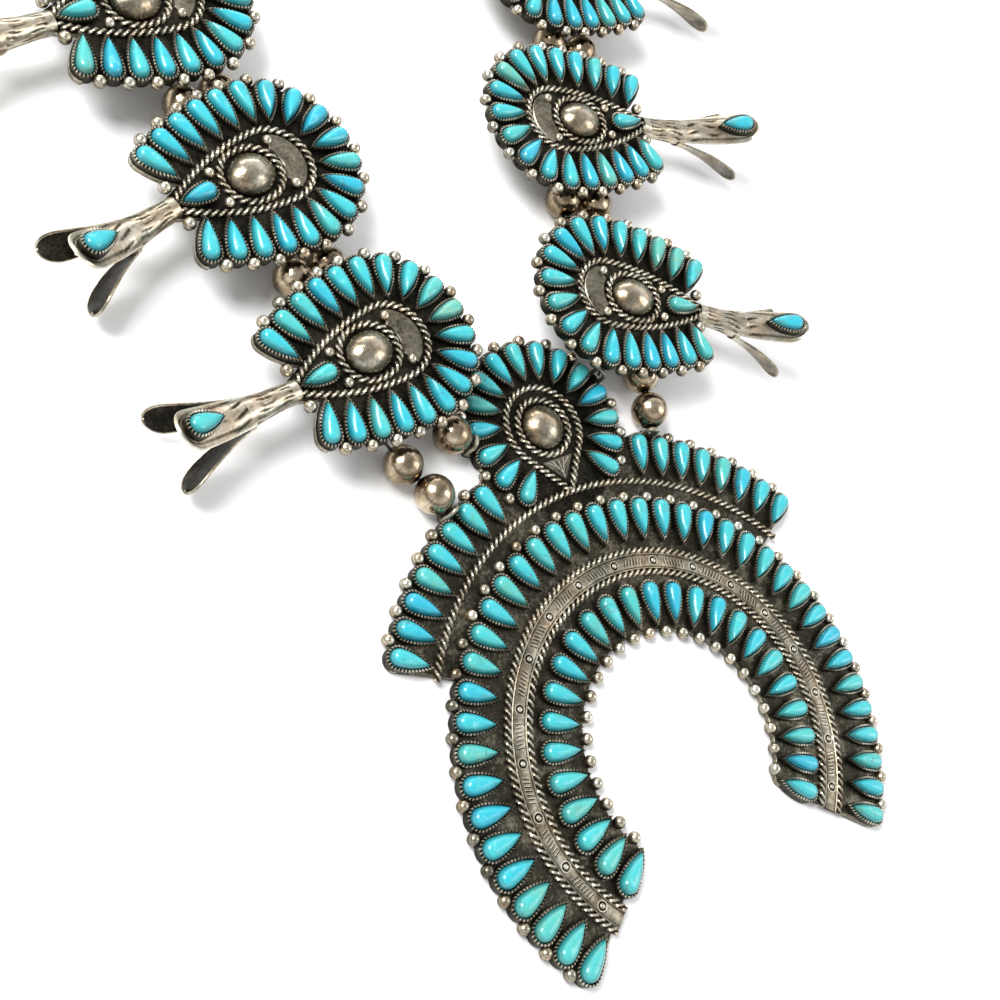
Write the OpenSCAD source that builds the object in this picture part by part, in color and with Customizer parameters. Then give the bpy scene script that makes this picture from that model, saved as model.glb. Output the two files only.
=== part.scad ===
// Squash blossom necklace, laid flat with its back on a table.
// Millimetres. The origin is on the back of the crescent, under the middle of its stamped band.
// Every row of stones stands in cups on a silver plate, with raindrop balls along its edges.

/* [Crescent] */
// Radius of the middle line of the stamped band
band_r = 35.8; // [32:0.1:40]
// Width of the stamped band
band_w = 3.1; // [2:0.1:4]
// Height of the stamped band above its plate
band_h = 0.7; // [0.4:0.1:1.2]
// Thickness of the silver plates
plate_t = 1.2; // [0.8:0.1:1.8]
// Angle from the top of the crescent to the last stones of its tips
reach = 127.5; // [110:0.5:135]
// Angle that the plate runs on past the last stones
tip_margin = 3.0; // [2:0.1:6]
// Radius of the twisted rope wires of the crescent
rope_r = 0.75; // [0.5:0.05:1.2]
// Room between the outer rope and the cups of the outer row
outer_room = 1.5; // [0.3:0.05:2]
// Room between the inner rope and the cups of the inner row
inner_room = 0.9; // [0.1:0.05:1.2]
// Width of plate left inside the inner row
inner_rim = 1.0; // [0.3:0.1:2]
// Room between the outer row and the rope under the wings
wing_rope_room = 2.6; // [2:0.1:3.5]
// Room between that rope and the cups of the wings
wing_room = 0.7; // [0.2:0.1:1.5]

/* [Stones] */
// Length of the stones of the outer row
outer_l = 7.8; // [6:0.1:10]
// Width of the stones of the outer row
outer_w = 3.5; // [3:0.1:4.2]
// Distance from stone to stone in the outer row
outer_pitch = 5.2; // [4.8:0.05:6]
// Length of the stones of the inner row
inner_l = 7.9; // [6:0.1:9]
// Width of the stones of the inner row
inner_w = 3.4; // [3:0.1:4]
// Distance from stone to stone in the inner row
inner_pitch = 5.1; // [4.8:0.05:6]
// Length of the stones of the wings
wing_l = 7.8; // [6:0.1:10]
// Width of the stones of the wings
wing_w = 3.5; // [3:0.1:4]
// Distance from stone to stone in the wings
wing_pitch = 5.1; // [4.8:0.05:6]
// Length of the stones of the crown
crown_l = 7.3; // [5:0.1:9]
// Width of the stones of the crown
crown_w = 3.2; // [2.5:0.1:3.8]
// Distance from stone to stone round the crown
crown_pitch = 4.8; // [4.4:0.05:5]
// Length of the stones round a blossom plate
ring_l = 7.8; // [5:0.1:9]
// Width of the stones round a blossom plate
ring_w = 3.3; // [2.5:0.1:3.7]
// Distance from stone to stone round a blossom plate
ring_pitch = 4.62; // [4.4:0.02:5.2]
// Length of the small stone in the point of a blossom plate
point_l = 7.0; // [5:0.1:7.6]
// Width of the small stone in the point of a blossom plate
point_w = 3.2; // [2:0.1:3.6]
// Length of the stone on a blossom petal
petal_l = 7.3; // [5:0.1:8.4]
// Width of the stone on a blossom petal
petal_w = 3.6; // [2.5:0.1:4]
// Rise of a stone above its cup
stone_rise = 1.2; // [0.6:0.1:2]
// Height of a cup above its plate
cup_h = 1.5; // [0.8:0.1:2.5]
// Thickness of a cup's wall
cup_wall = 0.35; // [0.2:0.05:0.6]
// Gap between a stone and its cup
stone_fit = 0.12; // [0.05:0.01:0.2]
// Radius of a raindrop ball
drop_r = 1.1; // [0.6:0.05:1.3]

/* [Crown and wings] */
// Angle from the crown's middle line to the first stones of the wings
wing_start = 19.2; // [17:0.1:24]
// Angle from the crown's middle line to the last stones of the wings
wing_reach = 54.6; // [40:0.1:60]
// Turn of the crown and its wings about the centre of the arcs
crown_turn = 2.8; // [0:0.1:4]
// Radius of the rope round the crown
crown_rope_r = 8.3; // [7:0.1:10]
// Length from the crown's centre to the point of its rope
crown_point = 13.6; // [12:0.1:16]
// Radius of the rope round the crown's dome
crown_eye_r = 5.7; // [4:0.1:6.2]
// Room between the crown's rope and its cups
crown_room = 0.85; // [0.3:0.05:2]
// Number of stones round the crown
crown_n = 15; // [9:2:15]

/* [Blossom plates] */
// Radius of the rope at a plate's round end
eye_r = 7.1; // [6:0.1:8.5]
// Length from the middle of the round end to the tip of the rope
tip_l = 23.3; // [20:0.1:27]
// Radius of the rope wires of a plate
ring_rope_r = 0.7; // [0.5:0.05:1.1]
// Room between a plate's rope and its cups
ring_room = 0.55; // [0.3:0.05:1.5]
// Radius of the ends of the oval rope round the dome
oval_r = 5.1; // [4:0.1:5.6]
// Length between the two ends' middles of that oval
oval_l = 1.8; // [0.5:0.1:3]
// Distance from the middle of the round end to the middle of the oval
oval_x = 5.6; // [5:0.1:7]
// Height of the dome above its plate
dome_h = 3.0; // [1.5:0.1:4]
// Height of the smooth pad at the round end
pad_h = 0.5; // [0.2:0.1:1]
// Room between the beads' tops and the plates' backs
plate_lift = 0.3; // [0.2:0.05:1.5]

/* [Blossoms] */
// Length of the blossom from the tip of the rope
blossom_l = 24.5; // [18:0.5:30]
// Length of the blossom's tube up to the petals
tube_l = 9.5; // [7:0.5:12]
// Radius of the tube where it leaves the plate
tube_r = 2.1; // [1.4:0.05:2.4]
// Distance from the blossom's middle line to the end of the front petal
front_r = 7.2; // [5:0.1:8]
// Distance from the blossom's middle line to the ends of the back petals
back_r = 9.2; // [6:0.1:10]
// Angle from the front petal to each back petal
back_turn = 122; // [95:1:124]
// Thickness of the petals
petal_t = 0.6; // [0.4:0.05:1]
// Width of the front petal
front_w = 8.2; // [5.6:0.1:8.6]
// Width of each back petal
back_w = 6.8; // [3:0.1:7.2]

/* [Strings] */
// Diameter of the beads
bead_d = 7.5; // [6:0.1:8]
// Gap between two strings' beads, side by side
string_gap = 0.3; // [0.15:0.05:1]
// Least gap between two beads on one string
bead_gap = 0.22; // [0.12:0.02:0.5]
// Radius of the thread
thread_r = 0.4; // [0.3:0.05:0.6]
// Gap between the thread and what it goes through
thread_fit = 0.3; // [0.2:0.05:0.5]
// Radius of the wire of the loops that hold the threads
loop_wire = 0.45; // [0.35:0.05:0.7]

/* [Clasp] */
// Length of each end bar of the clasp
bar_l = 13; // [11.5:0.5:18]
// Thickness of each end bar
bar_t = 3.2; // [2.6:0.1:4]
// Distance from the clasp's middle to each end bar
bar_x = 9; // [8.5:0.1:12]
// Inner radius of the hook's bend
hook_r = 2.6; // [2.4:0.1:3.2]
// Radius of the wire of the hook and the eye
hook_wire = 0.8; // [0.6:0.05:0.9]

/* [Hidden] */

// Cups
cup_off = stone_fit + cup_wall;
cup_top = plate_t + cup_h;
stone_foot = 0.12;
ball_sink = 0.3;
// How far a rope is soldered into the edge of the band
rope_seat = 0.1;
// A straight run of rope is a hair thinner than the arc that it starts inside
run_thinner = 0.02;
run_inside = 0.2;
ball_out = 0.45;
// Roundness of a stone's top, as a share of its width
stone_round = 0.64;

// Radii of the crescent, from the band outwards and inwards
rope_outer_r = band_r + band_w / 2 + rope_r - rope_seat;
rope_inner_r = band_r - band_w / 2 - rope_r + rope_seat;
outer_row_r = rope_outer_r + rope_r + outer_room + cup_off + outer_l / 2;
inner_row_r = rope_inner_r - rope_r - inner_room - cup_off - inner_l / 2;
wing_rope_r = outer_row_r + outer_l / 2 + cup_off + wing_rope_room + rope_r;
wing_row_r = wing_rope_r + rope_r + wing_room + cup_off + wing_l / 2;
inner_edge_r = inner_row_r - inner_l / 2 - cup_off - inner_rim;
outer_edge_r = outer_row_r + outer_l / 2;
wing_edge_r = wing_row_r + wing_l / 2;
edge_in = 0.6;
sheet_gap = 0.3;
outer_step = pitch_angle(outer_pitch, outer_row_r);
inner_step = pitch_angle(inner_pitch, inner_row_r);
wing_step = pitch_angle(wing_pitch, wing_row_r);
outer_half = floor(reach / outer_step);
inner_half = floor(reach / inner_step);
wing_n = floor((wing_reach - wing_start) / wing_step) + 1;
wing_sweep = wing_start + (wing_n - 0.56) * wing_step;
plate_reach = max(outer_half * outer_step, inner_half * inner_step) + tip_margin;
stamp_every = 2.3;
stamp_h = 0.2;

// Crown
crown_row_r = crown_rope_r + ring_rope_r + crown_room + cup_off + crown_l / 2;
crown_r = wing_rope_r + crown_point;
crown_step = pitch_angle(crown_pitch, crown_row_r);
crown_edge_r = crown_row_r + crown_l / 2;
crown_tilt = acos(crown_rope_r / crown_point);
dome_room = 0.2;
crown_dome_r = crown_eye_r - ring_rope_r - dome_room;
wedge_h = 0.4;
wedge_tip = 2.4;
wedge_side = 1.6;

// Blossom plate, in its own axes: x runs from the middle of the round end to the tip
side_r = (tip_l * tip_l + eye_r * eye_r) / (2 * eye_r);
side_drop = side_r - eye_r;
side_angle = asin(tip_l / side_r);
path_off = ring_rope_r + ring_room + cup_off + ring_l / 2;
path_eye = eye_r + path_off;
path_side = side_r + path_off;
path_turn = path_eye * PI / 2;
// Angle before the tip of the rope at which the stones end
ring_stop = 6.8;
ring_half = floor((path_turn + path_side * (side_angle - ring_stop) * PI / 180) / ring_pitch);
ring_ball_off = ring_l / 2 + ball_out;
plate_half = path_eye + ring_ball_off + drop_r;
point_x = tip_l - point_l / 2 - 2.4;
small_ball_r = 1.0;
// Small balls beside the pad, beside the oval and beside the tip
pad_ball = [-1.3, 4.6];
oval_ball = [oval_x + oval_l / 2 + 6.3, 3.1];
tip_ball = [tip_l - 1.5, ring_rope_r + 3];
tip_run = 1.2;
tip_half = 1.5;
lift = bead_d + plate_lift;
plate_top = lift + plate_t;
oval_in = oval_r - ring_rope_r - dome_room;

// Blossom
axis_z = plate_t / 2;
tube_sink = 1.2;
petal_end = 1.6;
petal_cup_h = 1.5;
petal_cup_foot = 0.7;
petal_floor = 0.4;
// Width of a petal where it leaves the tube, as a share of its full width
front_root = 0.95;
back_root = 0.55;
petal_in = 0.6;
// How far the front petal and the back petals stop short of the blossom's full length
front_short = 0.4;
back_short = 0.8;

// Places of the blossom plates: each starts from the one below it
left_first = [-33.2, 50.4];
right_first = [19.1, 51.8];
// Columns: heading to the next plate, gap to it, turn of the plate, bend of its blossom,
// and the length of its blossom as a share of blossom_l
left_rows = [[104.9, 1.4, 194.2, -3, 1], [104.8, 0.3, 195.8, 7, 0.91], [104.8, 0.3, 192.6, 0, 1]];
right_rows = [[82.7, 3.2, -20.3, -4, 0.96], [69.9, 3.3, -8.4, -4, 1.1], [69.9, 3.3, -9.6, 0, 1]];

// Middle lines of the two double strings, from the first plate up and round to the clasp
clasp_at = [-3, 229];
left_line = [
    [-37.5, 50], [-41, 68.5], [-45.3, 87], [-49.7, 104.8], [-54, 121], [-58.5, 138], [-63, 155],
    [-66, 172], [-65.5, 189], [-60, 205], [-49.5, 217], [-36, 225.5], [-22, 229], clasp_at - [bar_x, 0]
];
right_line = [
    [21, 50], [25, 72.5], [31, 91], [39, 110.5], [44.7, 126.5], [50, 142], [54.5, 158],
    [57, 174], [56.5, 190], [52, 205], [43, 217], [30, 225.5], [16, 229], clasp_at + [bar_x, 0]
];
// Points that lead each string from its loop to the first plate
left_outer_leads = [[-33.5, 23], [-37.4, 29.5], [-40, 38]];
left_inner_leads = [[-24.9, 32.1], [-29, 35.5], [-31.9, 41.5]];
right_outer_leads = [[21.9, 28.1], [23, 34], [24, 41]];
right_inner_leads = [[16.1, 41.5]];
bead_r = bead_d / 2;
half_space = (bead_d + string_gap) / 2;
bore_r = thread_r + thread_fit;
loop_r = bore_r + loop_wire;
loop_out = 0.35;
loop_tab = 1.6;
thread_in = 0.55;
shank_v = 11;
curve_steps = 4;
// Steps along each row at which the four strings are held
left_wing_at = 1.5;
right_wing_at = 0.5;
left_crown_at = -4.5;
right_crown_at = 3.5;
left_crown_lean = -30;

// Rules that the rows follow
function pitch_angle(pitch, r) = pitch / r * 180 / PI;
function dir(a) = [cos(a), sin(a)];
function unit(v) = v / norm(v);
function flat(p) = [p[0], p[1]];
function arcs_at(r, a) = [r * sin(a), -band_r + r * cos(a)];
function crown_at(r, a) =
    arcs_at(crown_r, -crown_turn) + r * dir(90 + crown_turn - a);

// Radius of the sides of a pointed shape whose round end has radius r and whose tip is tail away
function side_radius(r, tail) = (tail * tail + r * r) / (2 * r);

// Place and heading at a length along the middle line of a plate's stones
function path_at(s) =
    let (a = abs(s), k = sign(s))
    a <= path_turn
        ? let (t = 180 - a / path_eye * 180 / PI) [path_eye * cos(t), k * path_eye * sin(t), k * t]
        : let (t = 90 - (a - path_turn) / path_side * 180 / PI)
            [path_side * cos(t), k * (path_side * sin(t) - side_drop), k * t];

// A smooth line through chosen points
function blend(a, b, c, d, t) =
    0.5 * (2 * b + (c - a) * t + (2 * a - 5 * b + 4 * c - d) * t * t + (3 * b - a - 3 * c + d) * t * t * t);
function smooth(p) = let (n = len(p)) concat(
    [for (i = [0 : n - 2], j = [0 : curve_steps - 1])
        blend(p[max(i - 1, 0)], p[i], p[i + 1], p[min(i + 2, n - 1)], j / curve_steps)],
    [p[n - 1]]
);
function lengths(p) = [
    for (i = 0, s = 0; i < len(p); s = s + (i + 1 < len(p) ? norm(p[i + 1] - p[i]) : 0), i = i + 1) s
];
function leg(c, s) = max([for (k = [0 : len(c) - 2]) if (c[k] <= max(s, 0)) k]);
function at_length(p, c, s) = let (k = leg(c, s)) p[k] + (p[k + 1] - p[k]) * (s - c[k]) / (c[k + 1] - c[k]);
function way_at(p, c, s) = let (k = leg(c, s)) unit(p[k + 1] - p[k]);
function nearest(p, c, q) =
    let (gaps = [for (v = p) norm(flat(v) - q)], k = search(min(gaps), gaps)[0])
    let (way = unit(p[min(k + 1, len(p) - 1)] - p[max(k - 1, 0)]))
    c[k] + (q - flat(p[k])) * flat(way);
function beside(line, side) = [
    for (i = [0 : len(line) - 1])
        let (
            way = unit(line[min(i + 1, len(line) - 1)] - line[max(i - 1, 0)]),
            q = line[i] + side * half_space * [-way[1], way[0]]
        )
        [q[0], q[1], bead_r]
];

// Each loop on the edge has a place and a heading
function wing_loop(at, k) = let (a = k * (wing_start + at * wing_step) - crown_turn)
    [arcs_at(wing_edge_r, a), 90 - a];
function crown_loop(at, lean) =
    [crown_at(crown_edge_r, at * crown_step), 90 + crown_turn - at * crown_step + lean];
left_wing_loop = wing_loop(left_wing_at, -1);
right_wing_loop = wing_loop(right_wing_at, 1);
left_crown_loop = crown_loop(left_crown_at, left_crown_lean);
right_crown_loop = crown_loop(right_crown_at, 0);

// Each string starts in its loop, and its first points lead it under the first plate
function lead(q) = [q[0], q[1], bead_r];
function start_in(l) = lead(l[0] + (loop_out - thread_in) * dir(l[1]));
function string(loop, leads, line, side) =
    smooth(concat([start_in(loop)], [for (q = leads) lead(q)], beside(line, side)));
left_outer = string(left_wing_loop, left_outer_leads, left_line, 1);
left_inner = string(left_crown_loop, left_inner_leads, left_line, -1);
right_outer = string(right_wing_loop, right_outer_leads, right_line, -1);
right_inner = string(right_crown_loop, right_inner_leads, right_line, 1);

// Middles of the three plates of a side
function plate_at(first, rows, k) =
    k == 0 ? first : plate_at(first, rows, k - 1) + (2 * plate_half + rows[k - 1][1]) * dir(rows[k - 1][0]);
function across(turn) = let (v = [-sin(turn), cos(turn)]) v[1] < 0 ? -v : v;
function shank_lengths(p, c, first, rows) = [
    for (k = [0 : 2], e = [-1, 1])
        nearest(p, c, plate_at(first, rows, k) + e * shank_v * across(rows[k][2]))
];

// Shapes that repeat
// A teardrop, moved out by d: a round end along x, and two curved sides that meet in a point
module drop(l, w, d) {
    r = w / 2;
    side = side_radius(r, l - r);
    translate([l / 2 - r, 0]) {
        circle(r = r + d, $fn = 32);
        intersection() {
            translate([0, side - r]) circle(r = side + d, $fn = 120);
            translate([0, r - side]) circle(r = side + d, $fn = 120);
            translate([-l, -w]) square([l, 2 * w]);
        }
    }
}

module stone(l, w) {
    top = cup_top + stone_rise;
    round_r = w * stone_round;
    intersection() {
        translate([0, 0, plate_t + stone_foot])
            linear_extrude(top) drop(l, w, 0);
        translate([-l, 0, top - round_r])
            rotate([0, 90, 0]) cylinder(r = round_r, h = 2 * l, $fn = 48);
    }
}

module cup(l, w) {
    difference() {
        linear_extrude(cup_top) drop(l, w, cup_off);
        translate([0, 0, plate_t]) linear_extrude(cup_top) drop(l, w, stone_fit);
    }
}

module ball(r) {
    translate([0, 0, plate_t + ball_sink]) sphere(r = r, $fn = 20);
}

module about_arcs(r, a) {
    translate([0, -band_r, 0]) rotate([0, 0, -a]) translate([0, r, 0]) rotate([0, 0, 90]) children();
}

module arc_wire(r, wire, from, sweep) {
    translate([0, 0, plate_t + ball_sink])
        rotate_extrude(angle = sweep, start = from, $fn = 96) translate([r, 0]) circle(r = wire, $fn = 16);
}

module arc_slab(r1, r2, half, h) {
    translate([0, -band_r, 0])
        rotate_extrude(angle = 2 * half, start = 90 - half, $fn = 144)
            translate([r1, 0]) square([r2 - r1, h]);
}

module dome(r, h) {
    rotate_extrude($fn = 48) intersection() {
        translate([0, h - (r * r + h * h) / (2 * h)]) circle(r = (r * r + h * h) / (2 * h), $fn = 64);
        square([r, h]);
    }
}

// Crescent
module naja() {
    color("dimgray") {
        arc_slab(inner_edge_r, outer_edge_r, plate_reach, plate_t);
        arc_slab(band_r - band_w / 2, band_r + band_w / 2, plate_reach, plate_t + band_h);
        crescent_ropes();
        crescent_cups();
        crescent_balls();
        band_stamps();
        translate([0, -band_r, 0]) rotate([0, 0, crown_turn]) translate([0, band_r, 0]) {
            wings();
            crown();
        }
        edge_loops();
    }
}

module crescent_ropes() {
    translate([0, -band_r, 0]) {
        arc_wire(rope_outer_r, rope_r, 90 - plate_reach, 2 * plate_reach);
        arc_wire(rope_inner_r, rope_r, 90 - plate_reach, 2 * plate_reach);
    }
}

module crescent_cups() {
    for (i = [-outer_half : outer_half]) about_arcs(outer_row_r, i * outer_step) cup(outer_l, outer_w);
    for (i = [-inner_half : inner_half]) about_arcs(inner_row_r, i * inner_step) cup(inner_l, inner_w);
}

module crescent_balls() {
    for (i = [-outer_half : outer_half - 1])
        about_arcs(outer_edge_r + ball_out, (i + 0.5) * outer_step) ball(drop_r);
    for (i = [-inner_half : inner_half - 1])
        about_arcs(inner_edge_r - ball_out, (i + 0.5) * inner_step) ball(drop_r);
}

module band_stamps() {
    n = floor(plate_reach / (stamp_every * outer_step));
    for (i = [-n : n])
        about_arcs(band_r, i * stamp_every * outer_step)
            cylinder(r = band_w / 4, h = plate_t + band_h + stamp_h, $fn = 24);
}

module wings() {
    arc_slab(outer_edge_r - edge_in, wing_edge_r, wing_sweep, plate_t);
    translate([0, -band_r, 0])
        arc_wire(wing_rope_r, rope_r, 90 - wing_sweep, 2 * wing_sweep);
    for (k = [-1, 1], i = [0 : wing_n - 1])
        about_arcs(wing_row_r, k * (wing_start + i * wing_step)) cup(wing_l, wing_w);
    for (k = [-1, 1], i = [0 : wing_n - 2])
        if (i + 0.5 != (k < 0 ? left_wing_at : right_wing_at))
            about_arcs(wing_edge_r + ball_out, k * (wing_start + (i + 0.5) * wing_step)) ball(drop_r);
}

module crown() {
    run_l = crown_point * sin(crown_tilt);
    translate([0, crown_r - band_r, 0]) {
        cylinder(r = crown_edge_r, h = plate_t, $fn = 96);
        arc_wire(crown_rope_r, ring_rope_r, -90 + crown_tilt, 360 - 2 * crown_tilt);
        for (k = [-1, 1]) rotate([0, 0, -90 + k * crown_tilt])
            translate([crown_rope_r, 0, plate_t + ball_sink])
                rotate([k * 90, 0, 0])
                    translate([0, 0, -run_inside])
                        cylinder(r = ring_rope_r - run_thinner, h = run_l + run_inside, $fn = 16);
        arc_wire(crown_eye_r, ring_rope_r, 0, 360);
        translate([0, 0, plate_t]) dome(crown_dome_r, dome_h);
        crown_wedge();
        for (i = [-(crown_n - 1) / 2 : (crown_n - 1) / 2])
            rotate([0, 0, 90 - i * crown_step]) translate([crown_row_r, 0, 0]) cup(crown_l, crown_w);
        for (i = [-(crown_n - 1) / 2 : (crown_n - 3) / 2])
            if (i + 0.5 != left_crown_at && i + 0.5 != right_crown_at)
                rotate([0, 0, 90 - (i + 0.5) * crown_step])
                    translate([crown_edge_r + ball_out, 0, 0]) ball(drop_r);
    }
}

module crown_wedge() {
    far = crown_point - wedge_tip;
    near = crown_eye_r + ring_rope_r + sheet_gap;
    half = (crown_point - near) * tan(90 - crown_tilt) - wedge_side;
    linear_extrude(plate_t + wedge_h) polygon([[0, -far], [half, -near], [-half, -near]]);
}

// Half a ring of wire with two legs
module wire_loop(leg_l) {
    rotate([90, 0, 90]) rotate_extrude(angle = 180, $fn = 48)
        translate([loop_r, 0]) circle(r = loop_wire, $fn = 16);
    for (k = [-1, 1]) translate([0, k * loop_r, -leg_l]) cylinder(r = loop_wire, h = leg_l, $fn = 16);
}

// An edge loop stands on a small tab at the edge of the crescent
module edge_loop(l) {
    translate([l[0][0], l[0][1], 0]) rotate([0, 0, l[1]]) {
        translate([loop_out, 0, bead_r]) wire_loop(bead_r - plate_t / 2);
        cylinder(r = loop_tab, h = plate_t, $fn = 32);
    }
}

module edge_loops() {
    edge_loop(left_wing_loop);
    edge_loop(right_wing_loop);
    edge_loop(left_crown_loop);
    edge_loop(right_crown_loop);
}

module naja_outer_stones() {
    color("turquoise")
        for (i = [-outer_half : outer_half])
            about_arcs(outer_row_r, i * outer_step) stone(outer_l, outer_w);
}

module naja_wing_stones() {
    color("turquoise")
        for (k = [-1, 1], i = [0 : wing_n - 1])
            about_arcs(wing_row_r, k * (wing_start + i * wing_step) - crown_turn) stone(wing_l, wing_w);
}

// Blossom plate
module plate_metal() {
    linear_extrude(plate_t) leaf();
    plate_rope();
    oval_rope();
    translate([oval_x - oval_l / 2, 0, plate_t]) dome(oval_in, dome_h);
    translate([oval_x + oval_l / 2, 0, plate_t]) dome(oval_in, dome_h);
    dome_ridge();
    pad();
    for (i = [-ring_half : ring_half]) on_path(i * ring_pitch, 0) cup(ring_l, ring_w);
    for (i = [-ring_half : ring_half - 1]) on_path((i + 0.5) * ring_pitch, ring_ball_off) ball(drop_r);
    translate([point_x, 0, 0]) rotate([0, 0, 180]) cup(point_l, point_w);
    for (k = [-1, 1]) {
        translate([pad_ball[0], k * pad_ball[1], 0]) ball(small_ball_r);
        translate([oval_ball[0], k * oval_ball[1], 0]) ball(small_ball_r);
        translate([tip_ball[0], k * tip_ball[1], 0]) ball(drop_r);
    }
}

// The plate follows the outer ends of its stones, and turns in to the tip after the last ones
module leaf() {
    out = ring_l / 2 - sheet_gap;
    e = path_at(ring_half * ring_pitch + ring_w / 2 + cup_off + stone_foot);
    far = flat(e) + 2 * ring_l * dir(e[2]);
    near = flat(e) - ring_l / 2 * dir(e[2]);
    circle(r = path_eye + out, $fn = 120);
    intersection() {
        translate([0, side_drop]) circle(r = path_side + out, $fn = 240);
        translate([0, -side_drop]) circle(r = path_side + out, $fn = 240);
        polygon([
            [0, -far[1]], [far[0], -far[1]], [near[0], -near[1]], [tip_l + tip_run, -tip_half],
            [tip_l + tip_run, tip_half], near, far, [0, far[1]]
        ]);
    }
}

module on_path(s, out) {
    p = path_at(s == 0 ? 0.0001 : s);
    translate([p[0], p[1], 0]) rotate([0, 0, p[2]]) translate([out, 0, 0]) children();
}

module plate_rope() {
    arc_wire(eye_r, ring_rope_r, 90, 180);
    translate([0, -side_drop, 0]) arc_wire(side_r, ring_rope_r, 90 - side_angle, side_angle);
    translate([0, side_drop, 0]) arc_wire(side_r, ring_rope_r, -90, side_angle);
}

module oval_rope() {
    for (k = [-1, 1]) {
        translate([oval_x + k * oval_l / 2, 0, 0]) arc_wire(oval_r, ring_rope_r, -90 * k, 180);
        translate([oval_x - oval_l / 2, k * oval_r, plate_t + ball_sink])
            rotate([0, 90, 0]) cylinder(r = ring_rope_r, h = oval_l, $fn = 16);
    }
}

module dome_ridge() {
    big = (oval_in * oval_in + dome_h * dome_h) / (2 * dome_h);
    translate([oval_x - oval_l / 2, 0, plate_t]) rotate([90, 0, 90]) linear_extrude(oval_l)
        intersection() {
            translate([0, dome_h - big]) circle(r = big, $fn = 64);
            translate([-oval_in, 0]) square([2 * oval_in, dome_h]);
        }
}

module pad() {
    difference() {
        cylinder(r = eye_r - ring_rope_r - sheet_gap, h = plate_t + pad_h, $fn = 64);
        translate([oval_x - oval_l / 2, 0, -1])
            cylinder(r = oval_r + ring_rope_r + sheet_gap, h = plate_t + pad_h + 2, $fn = 64);
        translate([0, -eye_r, -1]) cube([2 * eye_r, 2 * eye_r, plate_t + pad_h + 2]);
    }
}

// Blossom: a flaring tube that opens into a wide front petal and two narrow back petals
flare_power = 2.1;
function flare(t, end_r) = tube_r + (end_r - tube_r) * pow(t, flare_power);
function flare_slope(t, end_r) = (end_r - tube_r) * flare_power * pow(t, flare_power - 1);
flare_steps = 8;

module flared_shell(end_r, long) {
    step = (long + tube_sink) / flare_steps;
    outside = [for (i = [0 : flare_steps]) [flare(i / flare_steps, end_r), i * step]];
    inside = [for (i = [flare_steps : -1 : 0]) outside[i] - [petal_t, 0]];
    translate([tip_l - tube_sink, 0, axis_z])
        rotate([0, 90, 0]) rotate_extrude($fn = 48) polygon(concat(outside, inside));
}

// What is kept of a shell for one petal
module petal_block(turn, wide, root, long) {
    from = tube_l - petal_in;
    end_x = long - wide / 2;
    translate([tip_l, 0, axis_z]) rotate([turn, 0, 0]) linear_extrude(2 * back_r) {
        translate([end_x, 0]) circle(r = wide / 2, $fn = 48);
        polygon([[from, -root / 2], [end_x, -wide / 2], [end_x, wide / 2], [from, root / 2]]);
    }
}

module blossom(long) {
    intersection() {
        flared_shell(front_r, long);
        union() {
            translate([tip_l - 2 * tube_sink, -front_r, axis_z - front_r])
                cube([tube_l + 2 * tube_sink, 2 * front_r, 2 * front_r]);
            petal_block(0, front_w, front_w * front_root, long - front_short);
        }
    }
    intersection() {
        flared_shell(back_r, long);
        union() {
            petal_block(back_turn, back_w, back_w * back_root, long - back_short);
            petal_block(-back_turn, back_w, back_w * back_root, long - back_short);
        }
    }
    on_petal(long) petal_cup();
}

module on_petal(long) {
    at = long - petal_l / 2 - petal_end;
    t = (at + tube_sink) / (long + tube_sink);
    slope = atan(flare_slope(t, front_r) / (long + tube_sink));
    translate([tip_l + at, 0, axis_z + flare(t, front_r)]) rotate([0, -slope, 0]) children();
}

module petal_cup() {
    difference() {
        translate([0, 0, -petal_cup_foot])
            linear_extrude(petal_cup_h + petal_cup_foot) drop(petal_l, petal_w, cup_off);
        translate([0, 0, petal_floor]) linear_extrude(petal_cup_h) drop(petal_l, petal_w, stone_fit);
    }
}

// A shank is a wire loop on the back of a plate, round one thread
module shank(p, c, s) {
    q = at_length(p, c, s);
    way = way_at(p, c, s);
    translate([q[0], q[1], bead_r]) rotate([0, 0, atan2(way[1], way[0])])
        rotate([180, 0, 0]) wire_loop(lift - bead_r + plate_t / 2);
}

module blossom_plate(first, rows, k, inner, outer) {
    q = plate_at(first, rows, k);
    color("gray") {
        translate([q[0], q[1], lift]) rotate([0, 0, rows[k][2]]) {
            plate_metal();
            translate([tip_l, 0, 0]) rotate([0, 0, rows[k][3]]) translate([-tip_l, 0, 0])
                blossom(blossom_l * rows[k][4]);
        }
        for (p = [inner, outer]) {
            c = lengths(p);
            s = shank_lengths(p, c, first, rows);
            for (e = [0, 1]) shank(p, c, s[2 * k + e]);
        }
    }
}

module ring_stones(first, rows, k) {
    q = plate_at(first, rows, k);
    color("turquoise") translate([q[0], q[1], lift]) rotate([0, 0, rows[k][2]])
        for (i = [-ring_half : ring_half]) on_path(i * ring_pitch, 0) stone(ring_l, ring_w);
}

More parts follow.
